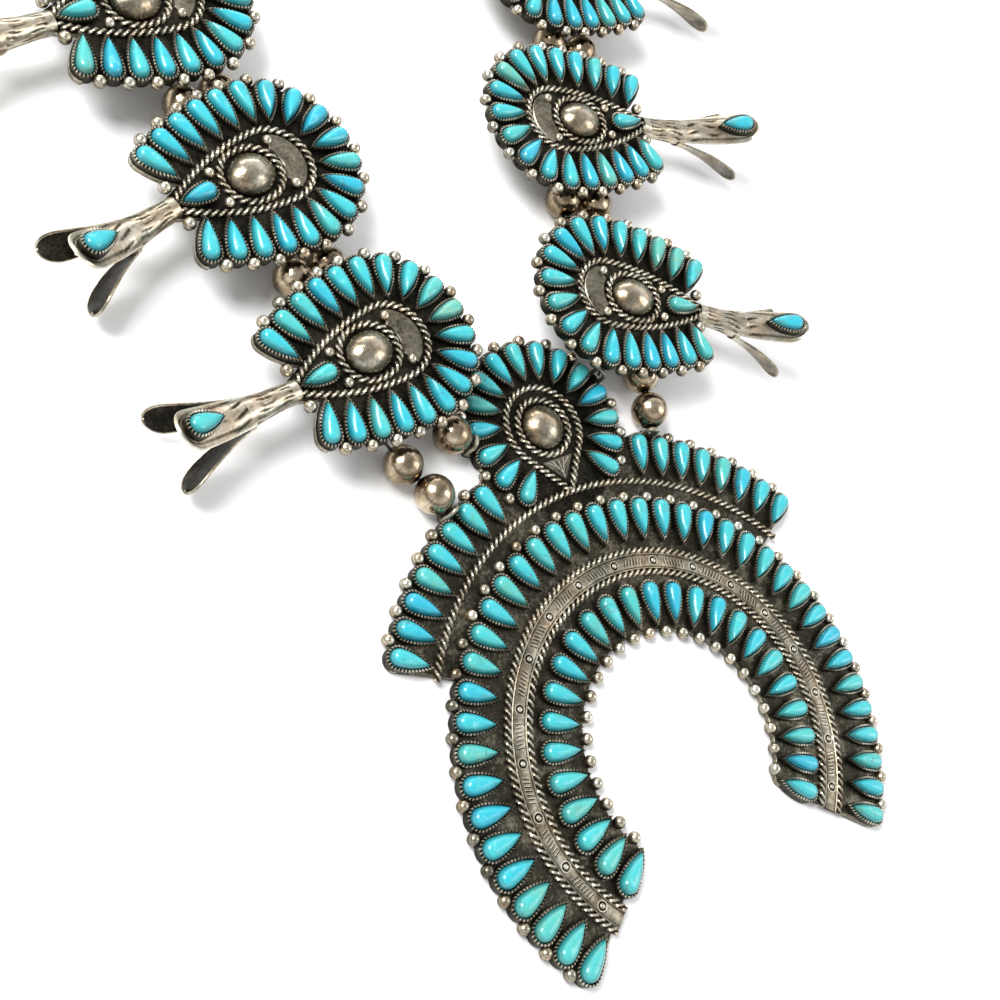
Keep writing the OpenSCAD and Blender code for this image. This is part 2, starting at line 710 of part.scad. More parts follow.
module left_plate_1() { blossom_plate(left_first, left_rows, 0, left_inner, left_outer); }
module left_plate_2() { blossom_plate(left_first, left_rows, 1, left_inner, left_outer); }
module left_plate_3() { blossom_plate(left_first, left_rows, 2, left_inner, left_outer); }
module right_plate_1() { blossom_plate(right_first, right_rows, 0, right_inner, right_outer); }
module right_plate_2() { blossom_plate(right_first, right_rows, 1, right_inner, right_outer); }
module right_plate_3() { blossom_plate(right_first, right_rows, 2, right_inner, right_outer); }
module left_stones_1() { ring_stones(left_first, left_rows, 0); }
module left_stones_2() { ring_stones(left_first, left_rows, 1); }
module left_stones_3() { ring_stones(left_first, left_rows, 2); }
module right_stones_1() { ring_stones(right_first, right_rows, 0); }
module right_stones_2() { ring_stones(right_first, right_rows, 1); }
module right_stones_3() { ring_stones(right_first, right_rows, 2); }

// Strings
module bead(p, c, s) {
    a = at_length(p, c, s - bead_r / 2);
    b = at_length(p, c, s + bead_r / 2);
    translate((a + b) / 2) rotate([0, 90, atan2(b[1] - a[1], b[0] - a[0])]) difference() {
        sphere(r = bead_r, $fn = 32);
        cylinder(r = bore_r, h = 2 * bead_d, center = true, $fn = 16);
    }
}

// As many beads as fit between two lengths, spread evenly or close together
module bead_run(p, c, from, to, even) {
    room = to - from;
    n = floor((room + bead_gap) / (bead_d + bead_gap));
    step = even ? room / max(n, 1) : bead_d + bead_gap;
    if (n > 0) for (i = [0 : n - 1]) bead(p, c, from + step * (i + 0.5));
}

module beads(p, first, rows) {
    c = lengths(p);
    s = shank_lengths(p, c, first, rows);
    clear = loop_wire + bead_gap;
    color("silver") {
        bead_run(p, c, thread_in + clear, s[0] - clear, false);
        bead_run(p, c, s[1] + clear, s[2] - clear, true);
        bead_run(p, c, s[3] + clear, s[4] - clear, true);
        bead_run(p, c, s[5] + clear, c[len(c) - 1] - bar_t / 2 - bead_gap, true);
    }
}

module left_outer_beads() { beads(left_outer, left_first, left_rows); }
module left_inner_beads() { beads(left_inner, left_first, left_rows); }
module right_outer_beads() { beads(right_outer, right_first, right_rows); }
module right_inner_beads() { beads(right_inner, right_first, right_rows); }

// A thread is one tube swept along its line
module thread(p) {
    sides = 8;
    n = len(p);
    rings = [for (i = [0 : n - 1], j = [0 : sides - 1])
        let (
            way = unit(p[min(i + 1, n - 1)] - p[max(i - 1, 0)]),
            across = unit(cross(way, [0, 0, 1])),
            up = cross(across, way)
        )
        p[i] + thread_r * (cos(360 * j / sides) * across + sin(360 * j / sides) * up)];
    walls = [for (i = [0 : n - 2], j = [0 : sides - 1])
        let (a = i * sides + j, b = i * sides + (j + 1) % sides) [a, a + sides, b + sides, b]];
    ends = [[for (j = [0 : sides - 1]) j], [for (j = [sides - 1 : -1 : 0]) (n - 1) * sides + j]];
    color("darkslategray") polyhedron(rings, concat(walls, ends), convexity = 10);
}

module left_outer_thread() { thread(left_outer); }
module left_inner_thread() { thread(left_inner); }
module right_outer_thread() { thread(right_outer); }
module right_inner_thread() { thread(right_inner); }

// Clasp: two end bars, a hook on the left one and an eye on the right one
module end_bar(side) {
    translate([clasp_at[0] + side * bar_x, clasp_at[1], bead_r]) difference() {
        cube([bar_t, bar_l, bar_t], center = true);
        for (k = [-1, 1]) translate([side * bar_t / 2, k * half_space, 0]) rotate([0, 90, 0])
            cylinder(r = bore_r, h = bar_t + 0.8, center = true, $fn = 24);
    }
}

module clasp_hook() {
    color("silver") {
        end_bar(-1);
        translate([clasp_at[0], clasp_at[1], bead_r]) {
            translate([-bar_x, -hook_r / 2, 0])
                rotate([0, 90, 0]) cylinder(r = hook_wire, h = bar_x, $fn = 24);
            translate([0, hook_r / 2, 0]) rotate_extrude(angle = 200, start = -90, $fn = 64)
                translate([hook_r, 0]) circle(r = hook_wire, $fn = 24);
        }
    }
}

module clasp_eye() {
    ring_r = hook_r + 0.2;
    ring_wire = hook_wire * 0.85;
    from_hook = 0.7;
    color("silver") {
        end_bar(1);
        translate([clasp_at[0] + ring_r + from_hook, clasp_at[1] + hook_r / 2, bead_r]) {
            rotate([90, 0, 0]) rotate_extrude($fn = 64)
                translate([ring_r, 0]) circle(r = ring_wire, $fn = 24);
            translate([ring_r, 0, 0]) rotate([0, 90, 0])
                cylinder(r = hook_wire, h = bar_x - 2 * ring_r - from_hook, $fn = 24);
        }
    }
}

naja();
naja_outer_stones();
naja_wing_stones();
left_plate_1();
left_plate_2();
left_plate_3();
right_plate_1();
right_plate_2();
right_plate_3();
left_stones_1();
left_stones_2();
left_stones_3();
right_stones_1();
right_stones_2();
right_stones_3();
left_outer_beads();
left_inner_beads();
right_outer_beads();
right_inner_beads();
left_outer_thread();
left_inner_thread();
right_outer_thread();
right_inner_thread();
clasp_hook();
clasp_eye();
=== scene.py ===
from math import acos, asin, atan, atan2, cos, degrees, pi, radians, sin, sqrt, tan

import bpy
import numpy as np
from mathutils import Matrix, Vector


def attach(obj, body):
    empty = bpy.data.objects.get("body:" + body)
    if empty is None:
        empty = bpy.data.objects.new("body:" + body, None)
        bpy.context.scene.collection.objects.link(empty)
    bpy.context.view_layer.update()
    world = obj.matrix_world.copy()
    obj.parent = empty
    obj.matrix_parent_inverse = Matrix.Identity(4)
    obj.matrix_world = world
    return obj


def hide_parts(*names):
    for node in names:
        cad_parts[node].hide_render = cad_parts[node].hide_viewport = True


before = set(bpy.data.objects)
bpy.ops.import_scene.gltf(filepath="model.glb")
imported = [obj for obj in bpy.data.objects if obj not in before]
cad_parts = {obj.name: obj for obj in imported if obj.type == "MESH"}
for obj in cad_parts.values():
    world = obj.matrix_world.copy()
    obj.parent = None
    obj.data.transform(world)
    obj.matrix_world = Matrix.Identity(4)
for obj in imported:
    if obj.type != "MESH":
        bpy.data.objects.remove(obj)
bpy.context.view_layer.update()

MM = 0.001
scene = bpy.context.scene
rng = np.random.default_rng(7)
ball_rng = np.random.default_rng(11)

# Sizes in millimetres and angles in degrees, the same as in the part's source
BAND_R, BAND_W, BAND_H, PLATE_T = 35.8, 3.1, 0.7, 1.2
ROPE_R, RING_ROPE_R = 0.75, 0.7
FIT, WALL = 0.12, 0.35
CUP_OFF = FIT + WALL
CUP_H, RISE = 1.5, 1.2
CUP_TOP = PLATE_T + CUP_H
STONE_TOP = CUP_TOP + RISE
OUTER_L, OUTER_W, OUTER_PITCH = 7.8, 3.5, 5.2
INNER_L, INNER_W, INNER_PITCH = 7.9, 3.4, 5.1
WING_L, WING_W, WING_PITCH = 7.8, 3.5, 5.1
CROWN_L, CROWN_W, CROWN_PITCH, CROWN_N = 7.3, 3.2, 4.8, 15
RING_L, RING_W, RING_PITCH = 7.8, 3.3, 4.62
POINT_L, POINT_W = 7.0, 3.2
PETAL_L, PETAL_W, PETAL_CUP_H = 7.3, 3.6, 1.5
BALL_R, SMALL_BALL_R = 1.1, 1.0
BALL_Z = PLATE_T + 0.3
BALL_OUT = 0.45
WING_START, CROWN_TURN = 19.2, 2.8
CROWN_ROPE_R, CROWN_POINT, CROWN_EYE_R = 8.3, 13.6, 5.7
EYE_R, TIP_L, OVAL_R, OVAL_L, OVAL_X = 7.1, 23.3, 5.1, 1.8, 5.6
DOME_H, PAD_H = 3.0, 0.5
BLOSSOM_L, TUBE_L, TUBE_R, FRONT_R, BACK_R = 24.5, 9.5, 2.1, 7.2, 9.2
PETAL_RISE = 0.75
PETAL_T, FRONT_W, BACK_W, BACK_TURN, TUBE_SINK = 0.6, 8.2, 6.8, 122, 1.2
FLARE_POWER, PETAL_END = 2.1, 1.6
BEAD_D, STRING_GAP, BEAD_GAP = 7.5, 0.3, 0.22
THREAD_R, THREAD_FIT, LOOP_WIRE, SHANK_V = 0.4, 0.3, 0.45, 11
BAR_T, BAR_L, BAR_X, HOOK_R, HOOK_WIRE = 3.2, 13, 9, 2.6, 0.8
PLATE_LIFT = 0.3
CUP_FOOT, PETAL_FOOT, GIRDLE = 0.3, -0.7, 0.45
SHEET_BEVEL, SHEET_STEP, DOME_GAP = 0.12, 0.02, 0.2
WAVE, INNER_WAVE, PLATE_WAVE = 0.8, 0.35, 0.75
POINT_X, TIP_HALF = TIP_L - 5.9, 1.5
PAD_BALL, OVAL_BALL = (-1.3, 4.6), (OVAL_X + OVAL_L / 2 + 6.3, 3.1)
TIP_BALL = (TIP_L - 1.5, RING_ROPE_R + 3)
LOOP_PAD_R, LOOP_IN = 1.6, 0.35
# Values that only the look needs: share of a rope's radius between its two wires, brightness of
# its strands, width of a cup's teeth, and how much fuller the balls are than in the solids
WIRE_APART, ROPE_SHINE, TOOTH = 0.46, 0.76, 0.7
BALL_MORE, SMALL_BALL_MORE = 0.12, 0.05

ROPE_OUTER_R = BAND_R + BAND_W / 2 + ROPE_R - 0.1
ROPE_INNER_R = BAND_R - BAND_W / 2 - ROPE_R + 0.1
OUTER_ROW_R = ROPE_OUTER_R + ROPE_R + 1.5 + CUP_OFF + OUTER_L / 2
INNER_ROW_R = ROPE_INNER_R - ROPE_R - 0.9 - CUP_OFF - INNER_L / 2
WING_ROPE_R = OUTER_ROW_R + OUTER_L / 2 + CUP_OFF + 2.6 + ROPE_R
WING_ROW_R = WING_ROPE_R + ROPE_R + 0.7 + CUP_OFF + WING_L / 2
INNER_EDGE_R = INNER_ROW_R - INNER_L / 2 - CUP_OFF - 1.0
OUTER_EDGE_R = OUTER_ROW_R + OUTER_L / 2
WING_EDGE_R = WING_ROW_R + WING_L / 2
OUTER_STEP = degrees(OUTER_PITCH / OUTER_ROW_R)
INNER_STEP = degrees(INNER_PITCH / INNER_ROW_R)
WING_STEP = degrees(WING_PITCH / WING_ROW_R)
OUTER_HALF = int(127.5 // OUTER_STEP)
INNER_HALF = int(127.5 // INNER_STEP)
WING_N = int((54.6 - WING_START) // WING_STEP) + 1
WING_SWEEP = WING_START + (WING_N - 0.56) * WING_STEP
REACH = max(OUTER_HALF * OUTER_STEP, INNER_HALF * INNER_STEP) + 3.0
CROWN_ROW_R = CROWN_ROPE_R + RING_ROPE_R + 0.85 + CUP_OFF + CROWN_L / 2
CROWN_R = WING_ROPE_R + CROWN_POINT
CROWN_STEP = degrees(CROWN_PITCH / CROWN_ROW_R)
CROWN_EDGE_R = CROWN_ROW_R + CROWN_L / 2
SIDE_R = (TIP_L**2 + EYE_R**2) / (2 * EYE_R)
SIDE_DROP = SIDE_R - EYE_R
SIDE_ANGLE = degrees(asin(TIP_L / SIDE_R))
PATH_OFF = RING_ROPE_R + 0.55 + CUP_OFF + RING_L / 2
PATH_EYE, PATH_SIDE = EYE_R + PATH_OFF, SIDE_R + PATH_OFF
PATH_TURN = PATH_EYE * pi / 2
RING_HALF = int((PATH_TURN + PATH_SIDE * radians(SIDE_ANGLE - 6.8)) // RING_PITCH)
RING_BALL = RING_L / 2 + BALL_OUT
PLATE_HALF = PATH_EYE + RING_BALL + BALL_R
LIFT = BEAD_D + PLATE_LIFT
BEAD_R = BEAD_D / 2
BORE_R = THREAD_R + THREAD_FIT
LOOP_R = BORE_R + LOOP_WIRE
HALF_SPACE = (BEAD_D + STRING_GAP) / 2
# Place of the first plate on each side
FIRST = {"left": (-33.2, 50.4), "right": (19.1, 51.8)}
# Columns: heading to the next plate, gap to it, turn, bend of its blossom, share of BLOSSOM_L
ROWS = {
    "left": [(104.9, 1.4, 194.2, -3, 1), (104.8, 0.3, 195.8, 7, 0.91), (104.8, 0.3, 192.6, 0, 1)],
    "right": [(82.7, 3.2, -20.3, -4, 0.96), (69.9, 3.3, -8.4, -4, 1.1), (69.9, 3.3, -9.6, 0, 1)],
}
CLASP = np.array([-3.0, 229.0])
# Middle line of the two strings on each side, from the crescent to the clasp
LINES = {
    "left": [
        (-37.5, 50), (-41, 68.5), (-45.3, 87), (-49.7, 104.8), (-54, 121), (-58.5, 138), (-63, 155),
        (-66, 172), (-65.5, 189), (-60, 205), (-49.5, 217), (-36, 225.5), (-22, 229), (-12, 229)],
    "right": [
        (21, 50), (25, 72.5), (31, 91), (39, 110.5), (44.7, 126.5), (50, 142), (54.5, 158),
        (57, 174), (56.5, 190), (52, 205), (43, 217), (30, 225.5), (16, 229), (6, 229)],
}
# Where the loops of the strings stand, in steps from the first stone of a wing and the crown's top
WING_LOOPS = {-1: 1.5, 1: 0.5}
CROWN_LOOPS = (-4.5, 3.5)
# Places of the strings between their loops and the first plates
LEADS = {
    "left_outer": [(-33.5, 23), (-37.4, 29.5), (-40, 38)],
    "left_inner": [(-24.9, 32.1), (-29, 35.5), (-31.9, 41.5)],
    "right_outer": [(21.9, 28.1), (23, 34), (24, 41)],
    "right_inner": [(16.1, 41.5)],
}


# Building blocks
class Build:
    """Collects shells of points and faces. Each point has a value for wear and painted shade, 0 in a
    dark hollow and 1 on a bright edge, and a tone that its material reads."""

    def __init__(self):
        self.v, self.w, self.c = [], [], []
        self.q, self.t = [np.zeros((0, 4), int)], [np.zeros((0, 3), int)]
        self.n = 0

    def add(self, v, quads=None, tris=None, wear_and_shade=0.5, tone=0.5):
        v = np.asarray(v, float).reshape(-1, 3)
        self.v.append(v)
        for kept, values in ((self.w, wear_and_shade), (self.c, tone)):
            kept.append(np.broadcast_to(values, (len(v),)))
        for kept, faces in ((self.q, quads), (self.t, tris)):
            if faces is not None:
                kept.append(faces + self.n)
        self.n += len(v)

    def joined(self):
        """Points, quads, triangles, wear and tone of all shells, each as one array."""
        return [np.concatenate(part) for part in (self.v, self.q, self.t, self.w, self.c)]

    def stamp(self, other, x=0, y=0, z=0, angle=0, scale=(1, 1, 1), tone=None, dim=1):
        """Adds a copy of another build, turned about z and moved. dim makes its value for wear and
        painted shade less.
        """
        v, q, t, w, own_tone = other.joined()
        v = v * scale
        c, s = polar(1, angle)
        v = np.stack([v[:, 0] * c - v[:, 1] * s + x, v[:, 0] * s + v[:, 1] * c + y, v[:, 2] + z], 1)
        self.add(v, q, t, dim * w, own_tone if tone is None else tone)

    def toned(self, tone):
        """The same build with one tone all over."""
        self.c = [np.full(len(v), tone) for v in self.v]
        return self

    def turned(self, matrix):
        """A copy moved by a 4 x 4 matrix."""
        out = Build()
        m = np.array(matrix)
        v, *rest = self.joined()
        out.add(v @ m[:3, :3].T + m[:3, 3], *rest)
        return out

    def moved(self, x, y, z, angle):
        """A copy turned about z and moved."""
        out = Build()
        out.stamp(self, x, y, z, angle)
        return out

    def mesh(self, name, slot, replaces=(), sharp=35):
        """Makes the object. Edges sharper than this many degrees aren't smoothed."""
        v, quads, tris, wear_and_shade, tone = self.joined()
        me = bpy.data.meshes.new(name)
        me.from_pydata((v * MM).tolist(), [], quads.tolist() + tris.tolist())
        me.validate()
        for key, values in (("wear_and_shade", wear_and_shade), ("tone", tone)):
            me.attributes.new(key, "FLOAT", "POINT").data.foreach_set("value", values.astype(np.float32))
        me.shade_smooth()
        me.set_sharp_from_angle(angle=radians(sharp))
        me.materials.append(MATERIALS[slot])
        o = bpy.data.objects.new(name, me)
        scene.collection.objects.link(o)
        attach(o, "root")
        if replaces:
            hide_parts(*replaces)


def grid_faces(n, m, loop_n=False, loop_m=True):
    """Quads of an n x m grid of points, whose rows of m points are closed rings unless told."""
    i = np.arange(n if loop_n else n - 1)
    j = np.arange(m if loop_m else m - 1)
    a, b = np.meshgrid(i, j, indexing="ij")
    a, b = a.ravel(), b.ravel()
    a2, b2 = (a + 1) % n, (b + 1) % m
    return np.stack([a * m + b, a2 * m + b, a2 * m + b2, a * m + b2], 1)


def unit(v):
    return v / np.linalg.norm(v, axis=-1, keepdims=True)


def polar(r, a):
    """Place at a distance r, in the direction of a degrees."""
    t = radians(a)
    return r * cos(t), r * sin(t)


def full_turn(n):
    """n equal steps of angle round a full turn, in radians."""
    return np.linspace(0, 2 * pi, n, endpoint=False)


def around(r, a):
    """Points at a radius and angles in radians."""
    return np.stack([r * np.cos(a), r * np.sin(a)], 1)


def lengths(p):
    """Length along a path from its start, at each of its points."""
    return np.concatenate([[0], np.cumsum(np.linalg.norm(np.diff(p, axis=0), axis=1))])


def lathe(profile, n, wear_and_shade):
    """Turns a profile of (radius, height) about z. A radius of 0 makes a pole."""
    r, z = np.asarray(profile, float).T
    a = full_turn(n)
    v = np.stack([np.outer(r, np.cos(a)), np.outer(r, np.sin(a)), np.repeat(z[:, None], n, 1)], 2)
    out = Build()
    out.add(v, grid_faces(len(r), n), None, np.repeat(wear_and_shade, n))
    return out


def stack(rows, lid=None, floor=None):
    """A skin over outlines of one length, each a row of (outline, height, wear), from the lowest up.
    lid and floor are the middle point of an end and its wear."""
    out = Build()
    n = len(rows[0][0])
    v = [np.column_stack([p, np.broadcast_to(z, (n,))]) for p, z, _ in rows]
    wear_and_shade = [np.broadcast_to(w, (n,)) for _, _, w in rows]
    quads, tris = grid_faces(len(rows), n)[:, ::-1], None
    if lid:
        m = len(rows) * n
        i = np.arange(n)
        j = (i + 1) % n
        top = np.stack([m - n + i, m - n + j, np.full(n, m)], 1)
        tris = np.concatenate([top, np.stack([j, i, np.full(n, m + 1)], 1)])
        v.append([lid[0], floor[0]])
        wear_and_shade.append([lid[1], floor[1]])
    out.add(np.concatenate(v), quads, tris, np.concatenate(wear_and_shade))
    return out


def prism(outline, z0, z1, wear_top=0.1, wear_side=0.25, bevel=SHEET_BEVEL):
    """A flat sheet with this counter-clockwise outline and a small bevel round its top."""
    p = np.asarray(outline, float)
    centre = p.mean(0)
    inner = p + unit(centre - p) * bevel
    rows = [(p, z0, wear_side), (p, z1 - bevel, wear_side + 0.2), (inner, z1, wear_top)]
    return stack(rows, ((*centre, z1), wear_top), ((*centre, z0), wear_side))


def ways(p):
    """The direction of an open path at each of its points."""
    return unit(np.concatenate([p[1:2] - p[:1], p[2:] - p[:-2], p[-1:] - p[-2:-1]]))


def sweep(p, size, sides, wear_and_shade, closed, up=(0, 0, 1), tone=0.5, end_wear=0.5):
    """A skin round a path. size is its radius at each point and side, or one radius."""
    out = Build()
    way = unit(np.roll(p, -1, 0) - np.roll(p, 1, 0)) if closed else ways(p)
    across = unit(np.cross(way, up))
    over = np.cross(across, way)
    a = full_turn(sides)[None, :, None]
    v = p[:, None, :] + (across[:, None, :] * np.cos(a) + over[:, None, :] * np.sin(a)) * size
    out.add(v, grid_faces(len(p), sides, closed), None, wear_and_shade, tone)
    if not closed:
        i = np.arange(sides)
        t = np.stack([i, (i + 1) % sides, np.full(sides, sides)], 1)
        for k, faces in ((0, t), (len(p) - 1, t[:, ::-1])):
            out.add(np.concatenate([v[k], p[k : k + 1]]), None, faces, end_wear)
    return out


def tube(path, r, sides, wear_and_shade, closed=False, up=(0, 0, 1)):
    """A round wire along a path."""
    return sweep(np.asarray(path, float), r, sides, wear_and_shade, closed, up, end_wear=wear_and_shade)


def rope(path, r, pitch=2.9, closed=False, sides=12, rings=11):
    """Two twisted wires, swept along a path at the height of its middle."""
    p = np.asarray(path, float)
    if closed:
        p = np.concatenate([p, p[:1]])
    c = lengths(p)
    s = np.linspace(0, c[-1], max(int(round(c[-1] / (pitch / rings))), 4) + 1)
    p = np.stack([np.interp(s, c, p[:, k]) for k in range(3)], 1)
    if closed:
        p, s, pitch = p[:-1], s[:-1], c[-1] / round(c[-1] / pitch)
    a, phase = full_turn(sides), (2 * pi * s / pitch)[:, None]
    apart, wire = WIRE_APART * r, (1 - WIRE_APART) * r
    size = apart * np.abs(np.cos(a - phase)) + np.sqrt(wire**2 - (apart * np.sin(a - phase)) ** 2)
    low = sqrt(wire**2 - apart**2)
    wear_and_shade = ROPE_SHINE * np.clip((size - low) / (r - low), 0, 1) ** 1.25
    return sweep(p, size[..., None], sides, wear_and_shade.ravel(), closed, tone=0.7)


def arc_path(cx, cy, r, a0, a1, z, n):
    """n steps along an arc, from angle a0 to a1 in degrees."""
    arc = around(r, np.radians(np.linspace(a0, a1, n + 1)))
    return np.column_stack([arc + [cx, cy], np.full(n + 1, z)])


def drop_outline(l, w, d, n):
    """Teardrop outline, round end along +x, counter-clockwise from its tip."""
    r = w / 2
    cx = l / 2 - r
    side = ((l - r) ** 2 + r * r) / (2 * r)
    s = side + d
    tip = cx - sqrt(s**2 - (side - r) ** 2)
    low = np.linspace(atan2(-(side - r), tip - cx), -pi / 2, 60)
    side_arc = around(s, low) + [cx, side - r]
    end_arc = around(r + d, np.linspace(-pi / 2, pi / 2, 40)[1:]) + [cx, 0]
    p = np.concatenate([side_arc, end_arc, side_arc[::-1][1:] * [1, -1]])
    c = lengths(p)
    t = np.linspace(0, c[-1], n, endpoint=False)
    return np.stack([np.interp(t, c, p[:, 0]), np.interp(t, c, p[:, 1])], 1)


def stone(l, w, foot, girdle, top, n=36, rings=7):
    """A cabochon whose crest runs from near its round end to its point. Its value for wear and painted
    shade is the height above the cup, which its material turns into painted shade low down beside the
    cup."""
    rows = [(drop_outline(l, w, 0, n), z, 0) for z in (foot, girdle)]
    for k in range(1, rings + 1):
        s = k / rings
        rise = sqrt(max(1 - (1 - s) ** 2.2, 0))
        rows.append((drop_outline(l, w, -w / 2 * 0.93 * s, n), girdle + (top - girdle) * rise, s))
    return stack(rows, ((*rows[-1][0].mean(0), top), 1), ((*rows[0][0].mean(0), foot), 0))


def bezel(l, w, foot, top):
    """A cup of thin sheet whose edge is cut into small teeth that lean over the stone."""
    n = 2 * int(round(lengths(drop_outline(l, w, CUP_OFF, 400))[-1] / TOOTH))
    up = np.arange(n) % 2 == 0
    # Columns: distance out from the stone, height, wear
    rows = [
        (CUP_OFF, foot, 0.05),
        (CUP_OFF, top - 0.75, 0.2),
        (CUP_OFF - 0.03, np.where(up, top - 0.15, top - 0.6), np.where(up, 0.75, 0.1)),
        (CUP_OFF - 0.2, np.where(up, top + 0.02, top - 0.55), np.where(up, 1.0, 0.05)),
        (FIT - 0.06, np.where(up, top - 0.02, top - 0.6), np.where(up, 0.9, 0.0)),
        (FIT - 0.06, foot + 0.3, 0.0),
    ]
    return stack([(drop_outline(l, w, d, n), z, q) for d, z, q in rows])


def ball(r):
    """A raindrop ball."""
    a = np.radians([-60, -30, 0, 25, 48, 66, 80, 90])
    wear_and_shade = [0.1, 0.2, 0.5, 0.72, 0.85, 0.9, 0.9, 0.9]
    return lathe(around(r, a) + [0, BALL_Z], 14, wear_and_shade).toned(0.85)


def on_arcs(r, a):
    """Place and heading of something on the arcs of the crescent, a degrees from their top."""
    t = radians(a)
    return r * sin(t), -BAND_R + r * cos(t), 90 - a


def on_wing(r, k, i):
    """The same on the left wing (k -1) or the right one (1), i steps from its first stone."""
    return on_arcs(r, k * (WING_START + i * WING_STEP) - CROWN_TURN)


def on_crown(r, a):
    """The same round the middle of the crown, a degrees from its top."""
    x, y, axis = on_arcs(CROWN_R, -CROWN_TURN)
    dx, dy = polar(r, axis - a)
    return x + dx, y + dy, axis - a


def sector(r_in, r_out, a0, a1, z0, z1, ends_at):
    """A flat ring sector about the arcs' centre. r_in and r_out are functions of the angle from the
    top. ends_at is a row of radii and a row of shares: what is kept there of the last degrees."""
    out = Build()
    fine, corner, last = 2.4, 2.0, 4
    wear_and_shade, edge = 0.24, 0.45
    ends = np.linspace(0, fine, 24) ** 2 / fine
    a = np.unique(np.concatenate([a0 + ends, np.linspace(a0, a1, int((a1 - a0) * 3) + 1), a1 - ends]))

    def cut(r):
        """How far a rounded corner takes the edge in."""
        d = np.clip(corner - np.radians(np.minimum(a - a0, a1 - a)) * r, 0, corner)
        return corner - np.sqrt(corner**2 - d**2)

    def place(r, z):
        near = np.minimum(np.minimum(a - a0, a1 - a), last)
        side = np.where(a - a0 < a1 - a, -1, 1)
        keep = np.interp(r, *ends_at)
        turn = np.radians(a - side * (1 - keep) * (last - near))
        return np.stack([r * np.sin(turn), -BAND_R + r * np.cos(turn), np.full(len(a), z)], 1)

    ri, ro = r_in(a), r_out(a)
    ri, ro = ri + cut(ri), ro - cut(ro)
    rows = [(ri, z0, edge), (ri, z1 - SHEET_BEVEL, edge), (ri + SHEET_BEVEL, z1, wear_and_shade)]
    for k in np.linspace(0, 1, 12)[1:-1]:
        rows.append((ri * (1 - k) + ro * k, z1, wear_and_shade))
    rows += [(ro - SHEET_BEVEL, z1, wear_and_shade), (ro, z1 - SHEET_BEVEL, edge), (ro, z0, edge)]
    v = np.stack([place(r, z) for r, z, _ in rows], 1)
    m = len(rows)
    out.add(v, grid_faces(len(a), m), None, np.tile([q for _, _, q in rows], len(a)))
    i = np.arange(1, m - 1)
    cap = np.stack([np.zeros(m - 2, int), i, i + 1], 1)
    out.add(v[0], None, cap, edge)
    out.add(v[-1], None, cap[:, ::-1], edge)
    return out


# Materials
def material(name, color, metallic, roughness):
    m = bpy.data.materials.new(name)
    m.use_nodes = True
    t = m.node_tree
    b = t.nodes["Principled BSDF"]
    for socket, value in (("Base Color", color), ("Metallic", metallic), ("Roughness", roughness)):
        feed(t, b.inputs[socket], value)
    return m, t, b


def node(t, kind, **values):
    """A node with these values on its sockets, whose names stand with _ for a space."""
    n = t.nodes.new(kind)
    for k, v in values.items():
        n.inputs[k.replace("_", " ")].default_value = v
    return n


def ramp(t, stops, source):
    """A colour ramp. A stop is a place and a colour, or a place and one number for a grey."""
    n = t.nodes.new("ShaderNodeValToRGB")
    while len(n.color_ramp.elements) < len(stops):
        n.color_ramp.elements.new(0.5)
    for e, (at, c) in zip(n.color_ramp.elements, stops):
        e.position = at
        e.color = (*c, 1) if isinstance(c, tuple) else (c, c, c, 1)
    t.links.new(source, n.inputs["Fac"])
    return n.outputs["Color"]


def feed(t, socket, value):
    """Links an output to a socket, or gives the socket a colour or a number."""
    if isinstance(value, bpy.types.NodeSocket):
        t.links.new(value, socket)
    else:
        socket.default_value = (*value, 1) if isinstance(value, tuple) else value


def mix(t, fac, a, b, kind="MIX"):
    n = t.nodes.new("ShaderNodeMix")
    n.data_type = "RGBA"
    n.blend_type = kind
    for k, value in ((0, fac), (6, a), (7, b)):
        feed(t, n.inputs[k], value)
    return n.outputs[2]


def maths(t, kind, a, b, clamp=False):
    n = t.nodes.new("ShaderNodeMath")
    n.operation = kind
    n.use_clamp = clamp
    feed(t, n.inputs[0], a)
    feed(t, n.inputs[1], b)
    return n.outputs[0]


def attribute(t, name):
    n = t.nodes.new("ShaderNodeAttribute")
    n.attribute_name = name
    return n.outputs["Fac"]


def own_place(t):
    """The object's own coordinates."""
    return t.nodes.new("ShaderNodeTexCoord").outputs["Object"]


def noise(t, scale, detail, rough=0.6, distort=0.0):
    n = node(t, "ShaderNodeTexNoise", Scale=scale, Detail=detail, Roughness=rough, Distortion=distort)
    t.links.new(own_place(t), n.inputs["Vector"])
    return n.outputs[0]


def bump(t, b, height, strength, distance):
    n = node(t, "ShaderNodeBump", Strength=strength, Distance=distance)
    t.links.new(height, n.inputs["Height"])
    t.links.new(n.outputs["Normal"], b.inputs["Normal"])


def spread(t, scale, detail, amount, rough=0.6, distort=0.0):
    """Noise about 0, this much in all."""
    about_0 = maths(t, "SUBTRACT", noise(t, scale, detail, rough, distort), 0.5)
    return maths(t, "MULTIPLY", about_0, amount)


